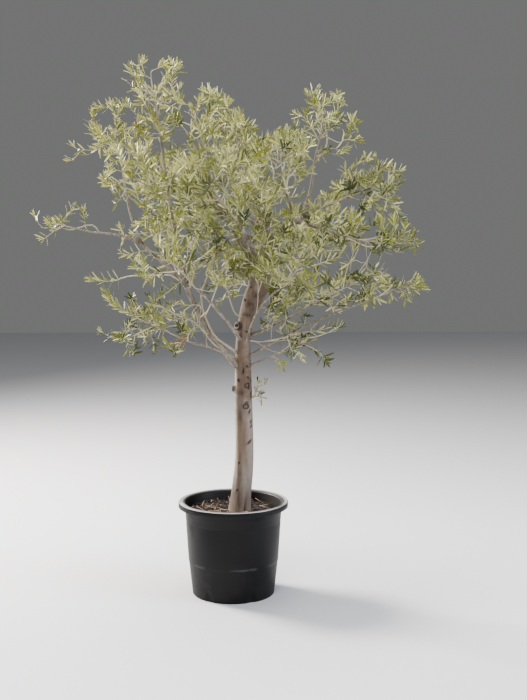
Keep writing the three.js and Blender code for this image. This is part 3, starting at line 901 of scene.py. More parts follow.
# Foliage round the boughs themselves: the mass whose pieces it joins, the middle and half sizes of
# its space, how many shoots, and the limbs that they leave.
fills = [
    (
        "inner_right", (60, -120, 1530), (200, 130, 180), 76,
        "fork_front fork_left fork_right limb_front limb_inner_right",
    ),
    ("front_right", (90, -140, 1370), (130, 90, 55), 34, "fork_front limb_front limb_front_right"),
    ("left_low", (-70, -90, 1310), (120, 60, 130), 26, "bough_left limb_left_low limb_front_low trunk"),
    (
        "front_right", (190, -70, 1225), (150, 90, 120), 62,
        "limb_front_right limb_right_low limb_right_tip trunk",
    ),
    (
        "left", (-190, -100, 1470), (150, 120, 190), 40,
        "bough_left bough_arch limb_left fork_left limb_top_left",
    ),
    (
        "right_mid", (330, -60, 1560), (170, 130, 150), 34,
        "fork_right limb_right_mid limb_right limb_inner_right",
    ),
    ("back_top", (60, 190, 1670), (190, 150, 180), 46, "fork_back limb_back_top limb_top"),
    ("back_left", (-150, 190, 1520), (170, 150, 180), 42, "fork_back limb_back_left fork_left"),
    ("back_right", (300, 230, 1500), (160, 150, 160), 38, "fork_back fork_right limb_back_right"),
    ("back_low", (70, 230, 1340), (170, 140, 110), 26, "fork_back limb_back_low"),
]
fillLook = (0.75, 0.6)  # how leafy the shoots are, and how much they rise

# Twigs that stand out between the masses, by the mass whose pieces they join: a name, the limb they
# leave and where on it, their radii, from where on they are in leaf, and their points.
sideTwigs = {
    "left_low": [
        ("riserLow", "trunk", 0.612, (6.5, 2.4), 0.8, [
            (-67, -45, 1087), (-106, -60, 1159), (-126, -75, 1221), (-125, -85, 1283), (-105, -95, 1336),
            (-88, -100, 1369), (-60, -105, 1454),
        ]),
        ("riserFork", "riserLow", 0.33, (3.4, 1.8), 0.75, [
            (-89, -80, 1234), (-36, -110, 1377), (-15, -115, 1434),
        ]),
        ("lowReach", "trunk", 0.585, (4.8, 2), 0.55, [
            (-73, -40, 1058), (-139, -60, 1138), (-223, -90, 1190), (-336, -110, 1175),
            (-454, -140, 1214), (-513, -150, 1283),
        ]),
        ("riserNear", "bough_left", 0.93, (4.6, 2.4), 0.75, [
            (-158, -72, 1356), (-154, -75, 1425), (-145, -75, 1530),
        ]),
        ("riserFar", "bough_left", 1, (4.6, 2.2), 0.7, [
            (-195, -60, 1359), (-207, -60, 1400), (-223, -60, 1441), (-239, -60, 1506),
        ]),
        ("riserFoot", "bough_left", 0.97, (4.2, 3), 1, [(-174, -75, 1323), (-188, -75, 1366)]),
        ("riserLeft", "riserFoot", 1, (3, 1.6), 0.7, [
            (-196, -78, 1388), (-206, -75, 1413), (-218, -75, 1445), (-231, -70, 1498),
        ]),
        ("riserRight", "riserFoot", 1, (3, 1.6), 0.7, [
            (-174, -80, 1393), (-157, -85, 1461), (-149, -85, 1510), (-137, -85, 1550),
        ]),
        ("riserStub", "trunk", 0.76, (3.6, 1.8), 0.6, [
            (13, -50, 1187), (-11, -60, 1245), (-24, -70, 1295), (-48, -80, 1315), (-84, -90, 1340),
        ]),
        ("riserSide", "riserFork", 0.7, (2, 1.2), 0.4, [
            (-44, -115, 1366), (-11, -120, 1382), (13, -125, 1402),
        ]),
        ("lowBack", "bough_left", 0.72, (3.2, 1.5), 0.5, [
            (-166, -80, 1173), (-215, -85, 1173), (-276, -95, 1154), (-337, -100, 1125),
        ]),
        ("lowRise", "lowBack", 0.45, (2.4, 1.3), 0.4, [
            (-247, -100, 1199), (-295, -105, 1224), (-335, -110, 1260),
        ]),
        ("lowFall", "bough_left", 0.6, (3, 1.4), 0.5, [
            (-147, -60, 1151), (-183, -70, 1098), (-224, -80, 1062),
        ]),
        ("reachLeft", "bough_left", 0.98, (4, 1.7), 0.7, [
            (-255, -80, 1348), (-335, -95, 1345), (-416, -105, 1345), (-488, -115, 1325),
            (-576, -120, 1330),
        ]),
        ("reachTip", "reachLeft", 0.5, (2.2, 1.1), 0.3, [(-362, -100, 1375), (-386, -110, 1418)]),
    ],
    "long_left": [
        ("archTip", "limb_long_left", 0.9, (3.6, 1.5), 0.9, [
            (-569, -85, 1550), (-655, -80, 1530), (-711, -80, 1550), (-764, -80, 1538), (-800, -80, 1590),
        ]),
    ],
    "under_right": [
        ("reachRight", "trunk", 0.68, (3.4, 1.5), 0.6, [
            (100, -25, 1070), (153, -40, 1074), (243, -60, 1081),
        ]),
        ("fineTop", "limb_right_low", 0.25, (2.8, 1.4), 0.4, [
            (121, -30, 1140), (182, -40, 1181), (243, -45, 1225), (276, -45, 1264),
        ]),
        ("fineUp", "limb_right_low", 0.3, (2.4, 1.3), 0.4, [
            (145, -45, 1182), (161, -50, 1232), (173, -55, 1277),
        ]),
        ("fineRise", "limb_right_tip", 0.25, (2.4, 1.3), 0.4, [
            (161, -50, 1141), (193, -60, 1192), (221, -65, 1242),
        ]),
        ("fineLong", "reachRight", 0.5, (2.6, 1.3), 0.5, [
            (205, -80, 1091), (274, -90, 1112), (347, -95, 1121), (403, -100, 1138),
        ]),
        ("fineLow", "reachRight", 0.3, (2.4, 1.3), 0.4, [
            (173, -60, 1031), (243, -70, 1044), (295, -80, 1078),
        ]),
        ("hangTop", "limb_right_tip", 0.35, (2.8, 1.4), 0.7, [
            (311, -90, 1092), (376, -95, 1109), (440, -100, 1142),
        ]),
        ("hangLow", "limb_right_tip", 0.33, (2.4, 1.2), 0.85, [
            (306, -100, 1060), (351, -110, 1036), (371, -115, 1012),
        ]),
    ],
    "right_low": [
        ("sprayRight", "stem_right_low", 0.75, (3, 1.3), 0.5, [(490, 30, 1372), (500, 0, 1455)]),
        ("sprayMiddle", "stem_right_low", 0.8, (3, 1.3), 0.5, [(555, 10, 1400), (575, 0, 1447)]),
        ("sprayLow", "stem_right_low", 0.85, (3, 1.3), 0.4, [(580, 10, 1350), (625, -10, 1372)]),
        ("sprayFoot", "stem_right_low", 0.7, (2.6, 1.2), 0.5, [
            (464, -80, 1368), (482, -95, 1417), (497, -100, 1462),
        ]),
        ("sprayFar", "stem_right_low", 0.8, (2.6, 1.2), 0.4, [
            (548, -90, 1348), (594, -110, 1369), (613, -120, 1402),
        ]),
    ],
    "top_left": [
        ("plumeRight", "stem_top_left", 0.75, (3.4, 1.2), 0.35, [
            (-256, 0, 2040), (-247, 0, 2087), (-243, 0, 2135), (-234, 0, 2170), (-222, 5, 2194),
        ]),
        ("plumeLeft", "stem_top_left", 0.7, (3, 1.2), 0.35, [
            (-296, 0, 2048), (-337, 0, 2087), (-377, 0, 2135), (-402, 0, 2160), (-409, 0, 2180),
        ]),
        ("plumeLow", "stem_top_left", 0.6, (2.8, 1.2), 0.45, [
            (-337, 0, 2046), (-382, 5, 2088), (-418, 10, 2121), (-430, 10, 2137),
        ]),
    ],
    "inner_right": [
        ("crookTop", "fork_right", 0.85, (5.5, 2), 0.8, [
            (221, -25, 1684), (229, -30, 1760), (236, -35, 1828), (217, -40, 1874), (207, -40, 1924),
        ]),
        ("crookRight", "crookTop", 0.72, (2.4, 1.2), 0.3, [(260, -40, 1852), (280, -40, 1900)]),
        ("crookLeft", "crookTop", 0.78, (2.4, 1.2), 0.4, [(171, -40, 1868), (142, -60, 1811)]),
    ],
    "top_right": [
        ("leader", "limb_top_right", 1, (4.5, 1.6), 0.75, [
            (385, 25, 1868), (387, 30, 1946), (362, 35, 1999), (345, 35, 2027), (308, 40, 2088),
        ]),
        ("leaderSide", "leader", 0.3, (2.6, 1.2), 0.45, [(448, 20, 1888), (480, 20, 1953)]),
    ],
    "right_mid": [
        ("tipRight", "limb_right_mid", 1, (4, 1.5), 0.5, [
            (551, -120, 1462), (641, -110, 1486), (735, -100, 1490),
        ]),
    ],
}

# Where the crown is open as seen from the front, on the upright plane through the pot's axis: the
# middle and half sizes of each gap, and the share of the leaves that stay in it.
gaps = [
    (-325, 2165, 36, 62, 0.05), (-418, 1982, 32, 38, 0.1), (-500, 1966, 26, 26, 0.15),
    (-219, 1913, 38, 58, 0.45), (-190, 1990, 22, 45, 0.15), (-459, 1765, 22, 24, 0.2),
    (-170, 2110, 40, 75, 0.05), (-465, 2145, 50, 95, 0.1), (120, 2090, 120, 120, 0.1),
    (180, 1800, 35, 75, 0.3), (310, 1705, 50, 55, 0.4), (325, 1800, 35, 35, 0.3),
    (480, 1645, 50, 35, 0.4), (520, 1405, 75, 55, 0.12), (690, 1390, 100, 60, 0.05),
    (-65, 1305, 65, 125, 0.5), (-175, 1450, 55, 80, 0.6), (-430, 1625, 55, 80, 0.5),
    (-525, 1640, 45, 72, 0.3), (-610, 1820, 55, 80, 0.3), (-360, 1455, 65, 35, 0.3),
    (-545, 1465, 105, 50, 0.1), (400, 1095, 90, 62, 0.35), (590, 1165, 165, 40, 0.1),
    (-250, 1250, 55, 60, 0.6), (-645, 1975, 62, 100, 0.08), (745, 1700, 42, 90, 0.1),
    (792, 1480, 36, 80, 0.15), (233, 1735, 15, 55, 0.15), (62, 1202, 50, 124, 0.03),
    (112, 1262, 42, 60, 0.05),
]
gapEdge = (0.8, 0.35)  # where a gap's edge begins, in half sizes, and how soft it is

# Limbs that show bare, how far to their sides few leaves hang in front of them, and how few.
bareLimbs = {
    "bough_left": 20,
    "bough_arch": 16,
    "limb_long_left": 12,
    "limb_right_tip": 10,
    "limb_right_low": 10,
}
leftInFront = 0.15

# Places at the crown's edge that a shoot goes to.
tips = {
    "top_left": [(-214, 10, 2185), (-262, 10, 2165), (-385, 0, 2135), (-480, 20, 2040), (-318, -110, 1970)],
    "upper_left": [(-461, 20, 2017), (-494, 20, 2042), (-561, 30, 1942), (-666, 0, 1810)],
    "long_left": [(-640, -70, 1625), (-600, -90, 1610)],
    "upper_front": [(-97, -180, 2067), (-74, -180, 2048), (-144, -180, 2044)],
    "top": [(9, 100, 2013), (93, 120, 1953), (122, 120, 1904), (55, 100, 1960)],
    "top_right": [(440, 40, 2052), (461, 40, 1987), (488, 20, 1957), (521, 20, 1896)],
    "right": [
        (649, 40, 1796), (612, 40, 1768), (698, 40, 1772), (671, 40, 1694), (575, 40, 1755),
        (699, -60, 1562),
    ],
    "right_mid": [(726, -100, 1522), (707, -100, 1470)],
    "right_tip": [(722, -170, 1304), (730, -170, 1290), (700, -170, 1252)],
    "right_low": [(650, -150, 1311), (631, -150, 1259)],
}

# How the solids grow their twigs: the scene starts from the same ones.
growth = {
    "limbSteps": 3,
    "limbEntry": 0.85,
    "seat": 0.3,
    "twigRadius": 4.8,
    "twigTip": 3.8,
    "lift": 0.25,
    "leastReach": 0.35,
    "lengthSpread": 0.08,
    "firstFoot": 0.06,
    "middleFoot": 0.45,
    "backwards": 0.55,
    "stemPast": 0.4,
    "stemBow": 0.08,
    "stemStraight": 10,
    "leafLength": 108,
    "margin": 0.85,
    "shareOfReach": 1.1,
    "apart": 1,
    "clearOfLimbs": 2,
}
up = np.array([0.0, 0.0, 1.0])


def unit(vector):
    return vector / np.maximum(np.linalg.norm(vector, axis=-1, keepdims=True), 1e-12)


class Line:  # a curve, by its share from 0 at the foot to 1 at the tip
    def __init__(self, at):
        self.at = at

    def along(self, share):
        return unit(self.at(min(share + 1e-4, 1)) - self.at(max(share - 1e-4, 0)))


def splineLine(rows):  # a smooth one through points, each the same share on
    rows = np.array(rows, float)
    rows = np.vstack([2 * rows[0] - rows[1], rows, 2 * rows[-1] - rows[-2]])

    def at(share):
        place = (len(rows) - 3) * share
        i = min(int(place), len(rows) - 4)
        t = place - i
        before, start, end, after = rows[i : i + 4]
        out, into = 0.5 * (end - before), 0.5 * (after - start)
        square = 3 * (end - start) - 2 * out - into
        cube = 2 * (start - end) + out + into
        return start + out * t + square * t**2 + cube * t**3

    return Line(at)


def bentLine(*points):  # one that starts and ends at points and bends towards those between
    points = np.array(points, float)

    def at(share):
        rows = points
        while len(rows) > 1:
            rows = rows[:-1] + (rows[1:] - rows[:-1]) * share
        return rows[0]

    return Line(at)


def seededRandom(seed):
    state = seed * 7919 + 1

    def draw(low, high):
        nonlocal state
        state = (state * 48271) % 2147483647
        return low + (high - low) * state / 2147483647

    draw(0, 1)
    draw(0, 1)
    return draw


def onLine(points, share):
    last = len(points) - 1
    i = min(int(share * last), last - 1)
    place = points[i] + (points[i + 1] - points[i]) * (share * last - i)
    return place, unit(points[i + 1] - points[i])


def lengthOf(points):
    return np.linalg.norm(np.diff(points, axis=0), axis=1).sum()


def halfSize(mass, way):
    return 1 / np.linalg.norm(way / mass["reach"])


# Which points are in a mass's own space: its ellipsoid, up to the planes that part it from the
# other masses.
def insideSpace(mass, points):
    away = np.atleast_2d(points) - mass["centre"]
    inside = np.linalg.norm(away / mass["reach"], axis=1) <= 1
    for other in masses:
        if other is mass:
            continue
        between = other["centre"] - mass["centre"]
        distance = np.linalg.norm(between)
        between = between / distance
        mine = halfSize(mass, between)
        share = mine / (mine + halfSize(other, between))
        inside &= away @ between < distance * share - growth["apart"]
    return inside


# The distance from points to the surface of a limb.
def distanceToLimb(points, limb):
    least = np.full(len(points), np.inf)
    rows, radii = limb["points"], limb["radii"]
    for i in range(len(rows) - 1):
        span = rows[i + 1] - rows[i]
        share = np.clip((points - rows[i]) @ span / max(span @ span, 1e-12), 0, 1)
        nearest = rows[i] + share[:, None] * span
        gap = np.linalg.norm(points - nearest, axis=1) - max(radii[i], radii[i + 1])
        least = np.minimum(least, gap)
    return least


def growLimbs():
    rise = (trunk["top"] - trunk["foot"]) / (len(trunk["lean"]) - 1)
    line = splineLine([(x, y, trunk["foot"] + k * rise) for k, (x, y, _) in enumerate(trunk["lean"])])
    girth = splineLine([(radius,) for _, _, radius in trunk["lean"]])
    shares = np.linspace(0, 1, 21)
    limbs = {
        "trunk": {
            "line": line,
            "girth": girth,
            "radii": [girth.at(s)[0] for s in shares],
            "points": [line.at(s) for s in shares],
        }
    }
    for name, parent, at, end, hug, radii in boughs:
        limbs[name] = limbTo(limbs[parent], at, np.array(end, float), hug, radii)
    for mass in masses:
        mass["centre"], mass["reach"] = np.array(mass["centre"], float), np.array(mass["reach"], float)
        parent = limbs[mass["parent"]]
        if mass["radii"] is None:
            mass["stem"] = stemOnTrunk(mass, parent)
            continue
        # the limb ends a little inside its mass's space, on the side of its start
        inward = unit((parent["line"].at(mass["at"]) - mass["centre"]) / mass["reach"])
        end = mass["centre"] + inward * mass["reach"] * growth["limbEntry"]
        limbs["limb_" + mass["name"]] = limbTo(parent, mass["at"], end, mass["hug"], mass["radii"])
        mass["stem"] = stemOf(mass, limbs["limb_" + mass["name"]])
    return limbs


def limbTo(parent, at, end, hug, radii):
    start = parent["line"].at(at)
    straight = end - start
    along = parent["line"].along(at)
    bend = start + straight * 0.5 * (1 - hug) + along * 0.5 * hug * np.linalg.norm(straight)
    line = bentLine(start, bend, end)
    shares = np.linspace(0, 1, growth["limbSteps"] + 1)
    return {
        "line": line,
        "points": [line.at(s) for s in shares],
        "radii": [radii[0] + (radii[1] - radii[0]) * s for s in shares],
        "parent": parent,
        "at": at,
    }


def stemOf(mass, limb):
    start, along = onLine(limb["points"], 1)
    foot = start + along * growth["seat"]
    end = mass["centre"] + (mass["centre"] - start) * growth["stemPast"]
    middle = (start + end) / 2 + along * np.linalg.norm(start - end) * growth["stemBow"]
    thick, thin = limb["radii"][-1], growth["twigTip"]
    points = [foot, foot + along * growth["stemStraight"], middle, end]
    return {"points": points, "radii": [thick, thick, thick / 2 + thin / 2, thin]}


def stemOnTrunk(mass, parent):
    core = parent["line"].at(mass["at"])
    along = unit((mass["centre"] - core) * (1, 1, 0))
    foot = core + along * (parent["girth"].at(mass["at"])[0] + growth["seat"])
    straight = foot + along * growth["stemStraight"]
    end = mass["centre"] + up * growth["stemPast"] * mass["reach"][2]
    thick, thin = growth["twigRadius"], growth["twigTip"]
    return {"points": [foot, straight, (straight + end) / 2, end], "radii": [thick, thick, thin, thin]}


def sphereWay(k, count, turn, lift):
    height = 1 - (2 * k + 1) / count
    level = math.sqrt(1 - height * height)
    angle = turn + k * goldenAngle
    return unit(np.array([level * math.cos(angle), level * math.sin(angle), height + lift]))


# The twigs that the solids have in a mass, from the stretch of its stem on the same side.
def twigsOf(mass, random, obstacles):
    back = unit(mass["stem"]["points"][0] - mass["centre"])
    turn = random(0, math.tau)
    leafLength = min(growth["leafLength"], growth["shareOfReach"] * min(mass["reach"]))
    twigs = []
    for k in range(mass["twigs"]):
        way = sphereWay(k, mass["twigs"], turn, growth["lift"])
        half = halfSize(mass, way)
        room = max(half - growth["margin"] * leafLength, growth["leastReach"] * half)
        tip = mass["centre"] + way * room * random(1 - growth["lengthSpread"], 1)
        ahead = -(way @ back)
        if -ahead > growth["backwards"]:
            continue
        foot, _ = onLine(mass["stem"]["points"], max(growth["middleFoot"] + ahead / 2, growth["firstFoot"]))
        probes = foot + (tip - foot) * np.linspace(0, 1, 5)[:, None]
        least = min(distanceToLimb(probes, limb).min() for limb in obstacles)
        if insideSpace(mass, tip)[0] and least > growth["twigRadius"] + growth["clearOfLimbs"]:
            twigs.append((foot, tip))
    return twigs


# Fine shoots carry the twigs on to the edge of the space and fill it. Each goes to its own place,
# from the twig that lies best for it, and is in leaf towards its end.
shoot = {
    "leastLength": 45,
    "mostLength": 260,
    "inner": 0.28,  # how near to the middle of the space the first ones end
    "outer": 0.99,
    "outward": 0.55,  # below 1, more of them end near the outside
    "lift": 0.2,
    "inLeaf": 92,  # at most, from its end
    "radii": (1.9, 0.9),
    "nodeStep": 18,
    "clump": (0.013, -0.14),  # how fine the clumps are that the shoots gather in, and how far apart
    "turning": (1.7, 0.7),  # how much further off a place seems that lies to a node's side
    "behind": 300,  # by how much one does that lies behind it, or too near it
    "tooNear": 400,
    "wander": 0.08,  # of its length
    "handle": 0.33,  # the share of its length that keeps to its direction at each end
}
twig = {
    "radii": (3.1, 1.5),
    "stemTip": 1.9,
    "sunk": 6,  # how far the stem's foot is inside its limb
    "bow": 0.12,  # along the stem, of its length
    "sag": 0.1,
    "leafFrom": 0.55,
    "stemLeafFrom": 0.8,
}
leaf = {
    "length": (34, 54),
    "width": 0.19,  # of its length
    "widths": (0.88, 0.24),  # the least, and how much more the others have
    "fold": 0.16,
    "thick": 0.05,
    "stations": [(0.12, 0.30), (0.50, 0.50), (0.86, 0.34)],  # how far along, and half its width there
    "smallReach": 70,  # below this half size of their space, leaves are smaller too
    "steps": (4.6, 1.5, 13),  # between pairs: at the tip, how much it grows, and at most
    "open": (15, 60, 0.7),  # degrees from the shoot, of the newest pair and the oldest, and how soon
    "openSpread": 10,
    "turning": 0.3,  # from square to the pair before
    "newest": (0.5, 18),  # of full size, and how far back leaves are full grown
    "up": (0.1, 0.42),
    "twist": 0.6,
    "droop": 0.15,
    "droops": (0.2, 0.5),
    "faceUp": 0.4,
    "dropped": (0.06, 2),  # the share that is gone, and how much more at the oldest
    # undersides come in a lit colour and a painted-shade copy; this share is lit
    "litUndersides": 0.6,  # the share of the undersides that is pale
    "clear": 3.0,
    "past": (0.022, 0.008),  # how far past the solids leaves may end: of each side, and in metres
}

# The lines of the fine wood, and from what share of one on others may leave it. Limbs and boughs
# bear them and are made elsewhere.
carriesFrom = {"stem": 0.2, "twig": 0.2, "sideTwig": 0.5, "shoot": 0.25, "limb": 0.45, "bough": 0.3}


def woodLine(kind, points, radii=None, leafFrom=1):
    return {"kind": kind, "points": np.array(points), "radii": radii, "leafFrom": leafFrom}


def sampled(line, count):
    return [line.at(s) for s in np.linspace(0, 1, count)]


def nodesOf(line):
    count = max(2, int(lengthOf(line["points"]) / shoot["nodeStep"]))
    first = math.ceil(carriesFrom[line["kind"]] * count)
    return [onLine(line["points"], k / count) for k in range(first, count + 1)]


# Shoots to places, each from the node of an earlier line that is near and points the right way.
def shootsTo(places, lines, leafy, rise, random):
    nodes = [found for line in lines for found in nodesOf(line)]
    aside, ahead = shoot["turning"]
    handle = shoot["handle"]
    made = []
    for place, named in places:
        away = place - np.array([foot for foot, _ in nodes])
        distance = np.linalg.norm(away, axis=1)
        lean = (away * [way for _, way in nodes]).sum(axis=1) / np.maximum(distance, 1e-9)
        cost = distance * (aside - ahead * lean) + shoot["behind"] * (lean < 0.05)
        best = int(np.argmin(cost + shoot["tooNear"] * (distance < shoot["leastLength"])))
        length = distance[best]
        if length < shoot["leastLength"] / 2 or length > shoot["mostLength"] and not named:
            continue
        foot, way = nodes[best]
        wander = np.array([random(-1, 1), random(-1, 1), random(-1, 1)]) * length * shoot["wander"]
        ending = unit((place - foot) / length + up * rise + wander / length * 2)
        first = foot + way * length * handle + wander
        curve = bentLine(foot, first, place - ending * length * handle, place)
        leafFrom = 1 - min(leafy, shoot["inLeaf"] / length)
        made.append(woodLine("shoot", sampled(curve, 8), shoot["radii"], leafFrom))
        nodes += nodesOf(made[-1])
    return made


# Places spread over an ellipsoid, the nearest to a foot first.
def placesIn(centre, reach, count, foot, random):
    turn = random(0, math.tau)
    fine, least = shoot["clump"]
    places = []
    for k in range(count):
        way = sphereWay(k, count, turn, shoot["lift"])
        depth = shoot["inner"] + (shoot["outer"] - shoot["inner"]) * random(0, 1) ** shoot["outward"]
        place = centre + way * reach * depth
        if noise.noise(Vector(place) * fine) > least and random(0, 1) < stayingAt(place[None])[0]:
            places.append((place, False))
    return sorted(places, key=lambda place: np.linalg.norm(place[0] - foot))


def growMass(mass, index, limbs, carriers):
    name, stem = mass["name"], mass["stem"]
    random = seededRandom(index + 1)
    obstacles = list(limbs.values()) + [other["stem"] for other in masses if other is not mass]
    inside = stem["points"][0] - unit(stem["points"][1] - stem["points"][0]) * twig["sunk"]
    carriers["stem_" + name] = splineLine([inside] + stem["points"][1:])
    stemPoints = sampled(carriers["stem_" + name], 10)
    stemRadii = (stem["radii"][0], twig["stemTip"])
    lines = [woodLine("stem", stemPoints, stemRadii, twig["stemLeafFrom"])]
    for foot, tip in twigsOf(mass, random, obstacles):
        length = np.linalg.norm(tip - foot)
        bowed = (foot + tip) / 2 + onLine(stem["points"], 0.5)[1] * twig["bow"] * length
        curve = bentLine(foot, bowed - up * twig["sag"] * length, tip)
        lines.append(woodLine("twig", sampled(curve, 8), twig["radii"], twig["leafFrom"]))
    for side, parent, at, radii, leafFrom, points in sideTwigs.get(name, []):
        carriers[side] = splineLine([carriers[parent].at(at)] + points)
        rows = sampled(carriers[side], 3 * len(points) + 2)
        lines.append(woodLine("sideTwig", rows, radii, leafFrom))
    bearers = [woodLine("limb", sampled(limbs["limb_" + name]["line"], 8))] if mass["radii"] else []
    places = placesIn(mass["centre"], mass["reach"], mass["shoots"], stem["points"][0], random)
    places += [(np.array(place, float), True) for place in tips.get(name, [])]
    lines += shootsTo(places, lines + bearers, mass["leafy"], mass["rise"], random)
    return lines, leavesOf(lines, mass["centre"], mass["reach"], limbs, obstacles, random)


def growFill(index, limbs):
    _, centre, reach, count, carriers = fills[index]
    random = seededRandom(90 + index)
    centre, reach = np.array(centre, float), np.array(reach, float)
    bearers = [woodLine("bough", sampled(limbs[name]["line"], 9)) for name in carriers.split()]
    places = placesIn(centre, reach, count, limbs["trunk"]["points"][-1], random)
    lines = shootsTo(places, bearers, *fillLook, random)
    return lines, leavesOf(lines, centre, reach, limbs, list(limbs.values()), random)


def leavesOf(lines, centre, reach, limbs, obstacles, random):
    fullSize = min(1, min(reach) / leaf["smallReach"])
    leaves = []
    for line in lines:
        depth = np.linalg.norm((line["points"][-1] - centre) / reach)
        leaves += leavesOn(line, tintOf(line["points"][-1], depth, random), fullSize, random)
    return clearLeaves(leaves, limbs, obstacles, random)


# Pairs of leaves from a line's tip back, each square to the one before.
def leavesOn(line, tint, fullSize, random):
    points = line["points"]
    length = lengthOf(points)
    stretch = length * (1 - line["leafFrom"])
    step, growing, most = leaf["steps"]
    newestOpen, oldestOpen, opening = leaf["open"]
    newest, grownAfter = leaf["newest"]
    dropped, older = leaf["dropped"]
    openSpread, turning, twist = leaf["openSpread"], leaf["turning"], leaf["twist"]
    roll = random(0, math.tau)
    made = []
    gone = 0
    while gone < stretch:
        age = gone / stretch
        place, along = onLine(points, max(1 - gone / length, 0))
        side = unit(np.cross(along, [0.31, 0.17, 0.93]))
        other = np.cross(along, side)
        roll += math.pi / 2 + random(-turning, turning)
        spread = side * math.cos(roll) + other * math.sin(roll)
        grown = newest + (1 - newest) * min(1, gone / grownAfter)
        for hand in (-1, 1):
            opened = newestOpen + (oldestOpen - newestOpen) * age**opening
            opened = math.radians(opened + random(-openSpread, openSpread))
            way = along * math.cos(opened) + spread * hand * math.sin(opened) + up * random(*leaf["up"])
            size = random(*leaf["length"]) * grown * fullSize
            chance = random(0, 1)
            if random(0, 1) > dropped * (1 + older * age):
                made.append((place, unit(way), along, size, chance, random(-twist, twist), tint))
        gone += step
        step = min(step + growing, most)
    return made


# Points as seen from the camera, on the upright plane through the pot's axis.
def seenAt(points):
    eye = cameraPlace["height"] / mm
    shrink = cameraPlace["distance"] / mm / (cameraPlace["distance"] / mm + points[:, 1])
    return np.stack([points[:, 0] * shrink, eye + (points[:, 2] - eye) * shrink], axis=1)


# The share of the leaves that stays at each point, because of the gaps.
def stayingAt(points):
    seen = seenAt(points)
    staying = np.ones(len(points))
    begins, softness = gapEdge
    for x, z, halfX, halfZ, least in gaps:
        out = np.linalg.norm((seen - (x, z)) / (halfX, halfZ), axis=1)
        staying = np.minimum(staying, least + (1 - least) * np.clip((out - begins) / softness, 0, 1))
    return staying


# Which points hang in front of a limb that shows bare.
def hidesLimb(points, limbs):
    seen = seenAt(points)
    hides = np.zeros(len(points), bool)
    for name, half in bareLimbs.items():
        rows = np.array(limbs[name]["points"])
        flat = {"points": list(seenAt(rows)), "radii": limbs[name]["radii"]}
        hides |= (distanceToLimb(seen, flat) < half) & (points[:, 1] < rows[:, 1].max())
    return hides


# Leaves keep clear of the limbs, and inside the size of the solids with a little to spare.
def clearLeaves(leaves, limbs, obstacles, random):
    if not leaves:
        return []
    roots, ways = (np.array([row[k] for row in leaves]) for k in (0, 1))
    sizes = np.array([row[3] for row in leaves])
    ends = (roots + ways * sizes[:, None]) * mm
    low, high = (np.array(corner) for corner in cadBox)
    pastShare, pastEnd = leaf["past"]
    spare = pastShare * (high - low) + pastEnd
    kept = ((ends > low - spare) & (ends < high + spare)).all(axis=1)
    chances = np.array([random(0, 1) for _ in leaves])
    middles = roots + ways * sizes[:, None] / 2
    kept &= (chances < stayingAt(middles)) & (~hidesLimb(middles, limbs) | (chances < leftInFront))
    for share in (0.35, 0.7, 1.0):
        probes = roots + ways * (sizes * share)[:, None]
        for limb in obstacles:
            kept &= distanceToLimb(probes, limb) > leaf["clear"]
    return [row for row, keep in zip(leaves, kept) if keep]


# Leaf colours are dealt out by spray: paler towards the top left, as painted light, deeper inside
# and low on the right, as painted shade, with a few young and yellow ones.
leafTints = {
    "leafDeep": (0.072, 0.086, 0.021),
    "leafOlive": (0.138, 0.152, 0.037),
    "leafGrey": (0.244, 0.263, 0.079),
    "leafPale": (0.480, 0.475, 0.185),
    "leafYoung": (0.250, 0.270, 0.042),
    "leafYellow": (0.560, 0.520, 0.110),
    "leafDry": (0.200, 0.085, 0.040),
}
oddSprays = [("leafYellow", (-318, -110, 1970), 22), ("leafDry", (-200, -80, 1085), 50)]
underTints = {
    "leafUnderside": (0.450, 0.448, 0.205),
    # a darker copy of the underside colour: painted shade
    "leafUndersidePaintedShade": (0.235, 0.240, 0.096),
}
tinting = {
    "young": 0.86,  # above this share, the sprays are young
    "start": 0.45,
    "height": (1600, 1500),  # how high they are neither paler nor deeper, and over what height they pale
    "aside": 2400,
    "depth": (0.75, 0.5),
    "spread": 0.42,
}


def tintOf(place, depth, random):
    for tint, spot, within in oddSprays:
        if math.dist(place, spot) < within:
            return tint
    if random(0, 1) > tinting["young"]:
        return "leafYoung"
    level, rise = tinting["height"]
    middle, outward = tinting["depth"]
    # painted light and shade: paler higher and further left, deeper inside the crown
    pale = tinting["start"] + (place[2] - level) / rise - place[0] / tinting["aside"]
    pale += (depth - middle) * outward
    pale += random(-tinting["spread"], tinting["spread"])
    return list(leafTints)[max(0, min(3, int(pale * 4)))]


# A leaf blade: blunt, folded a little along its midrib and bent down to its tip. Its upper side
# has one material and its pale underside another. The last of its four sizes is for the bend.
def leafShape():
    shape = [(0, 0, 0)]
    for along, half in leaf["stations"]:
        fold = leaf["fold"] * half
        shape += [(-half, along, fold), (0, along, 0), (half, along, fold), (0, along, -leaf["thick"])]
    shape.append((0, 1, 0))
    tip = len(shape) - 1
    upper, lower = [(0, 3, 2), (0, 2, 1)], [(0, 4, 3), (0, 1, 4)]
    for a in range(1, tip - 4, 4):
        b = a + 4
        upper += [(a + 1, a + 2, b + 2, b + 1), (a, a + 1, b + 1, b)]
        lower += [(a + 3, b + 3, b + 2, a + 2), (a, b, b + 3, a + 3)]
    a = tip - 4
    upper += [(a + 1, a + 2, tip), (a, a + 1, tip)]
    lower += [(a + 2, a + 3, tip), (a + 3, a, tip)]
    return [(x, y, z, y * y) for x, y, z in shape], upper, lower


def leafMaterials():
    made = []
    for name, colour in leafTints.items():
        made.append(newMaterial(name, colour, 0.5, Sheen_Weight=0.06, Sheen_Roughness=0.45)[0])
    for name, colour in underTints.items():
        made.append(newMaterial(name, colour, 0.72, Sheen_Weight=0.3, Specular_IOR_Level=0.35)[0])
    return made


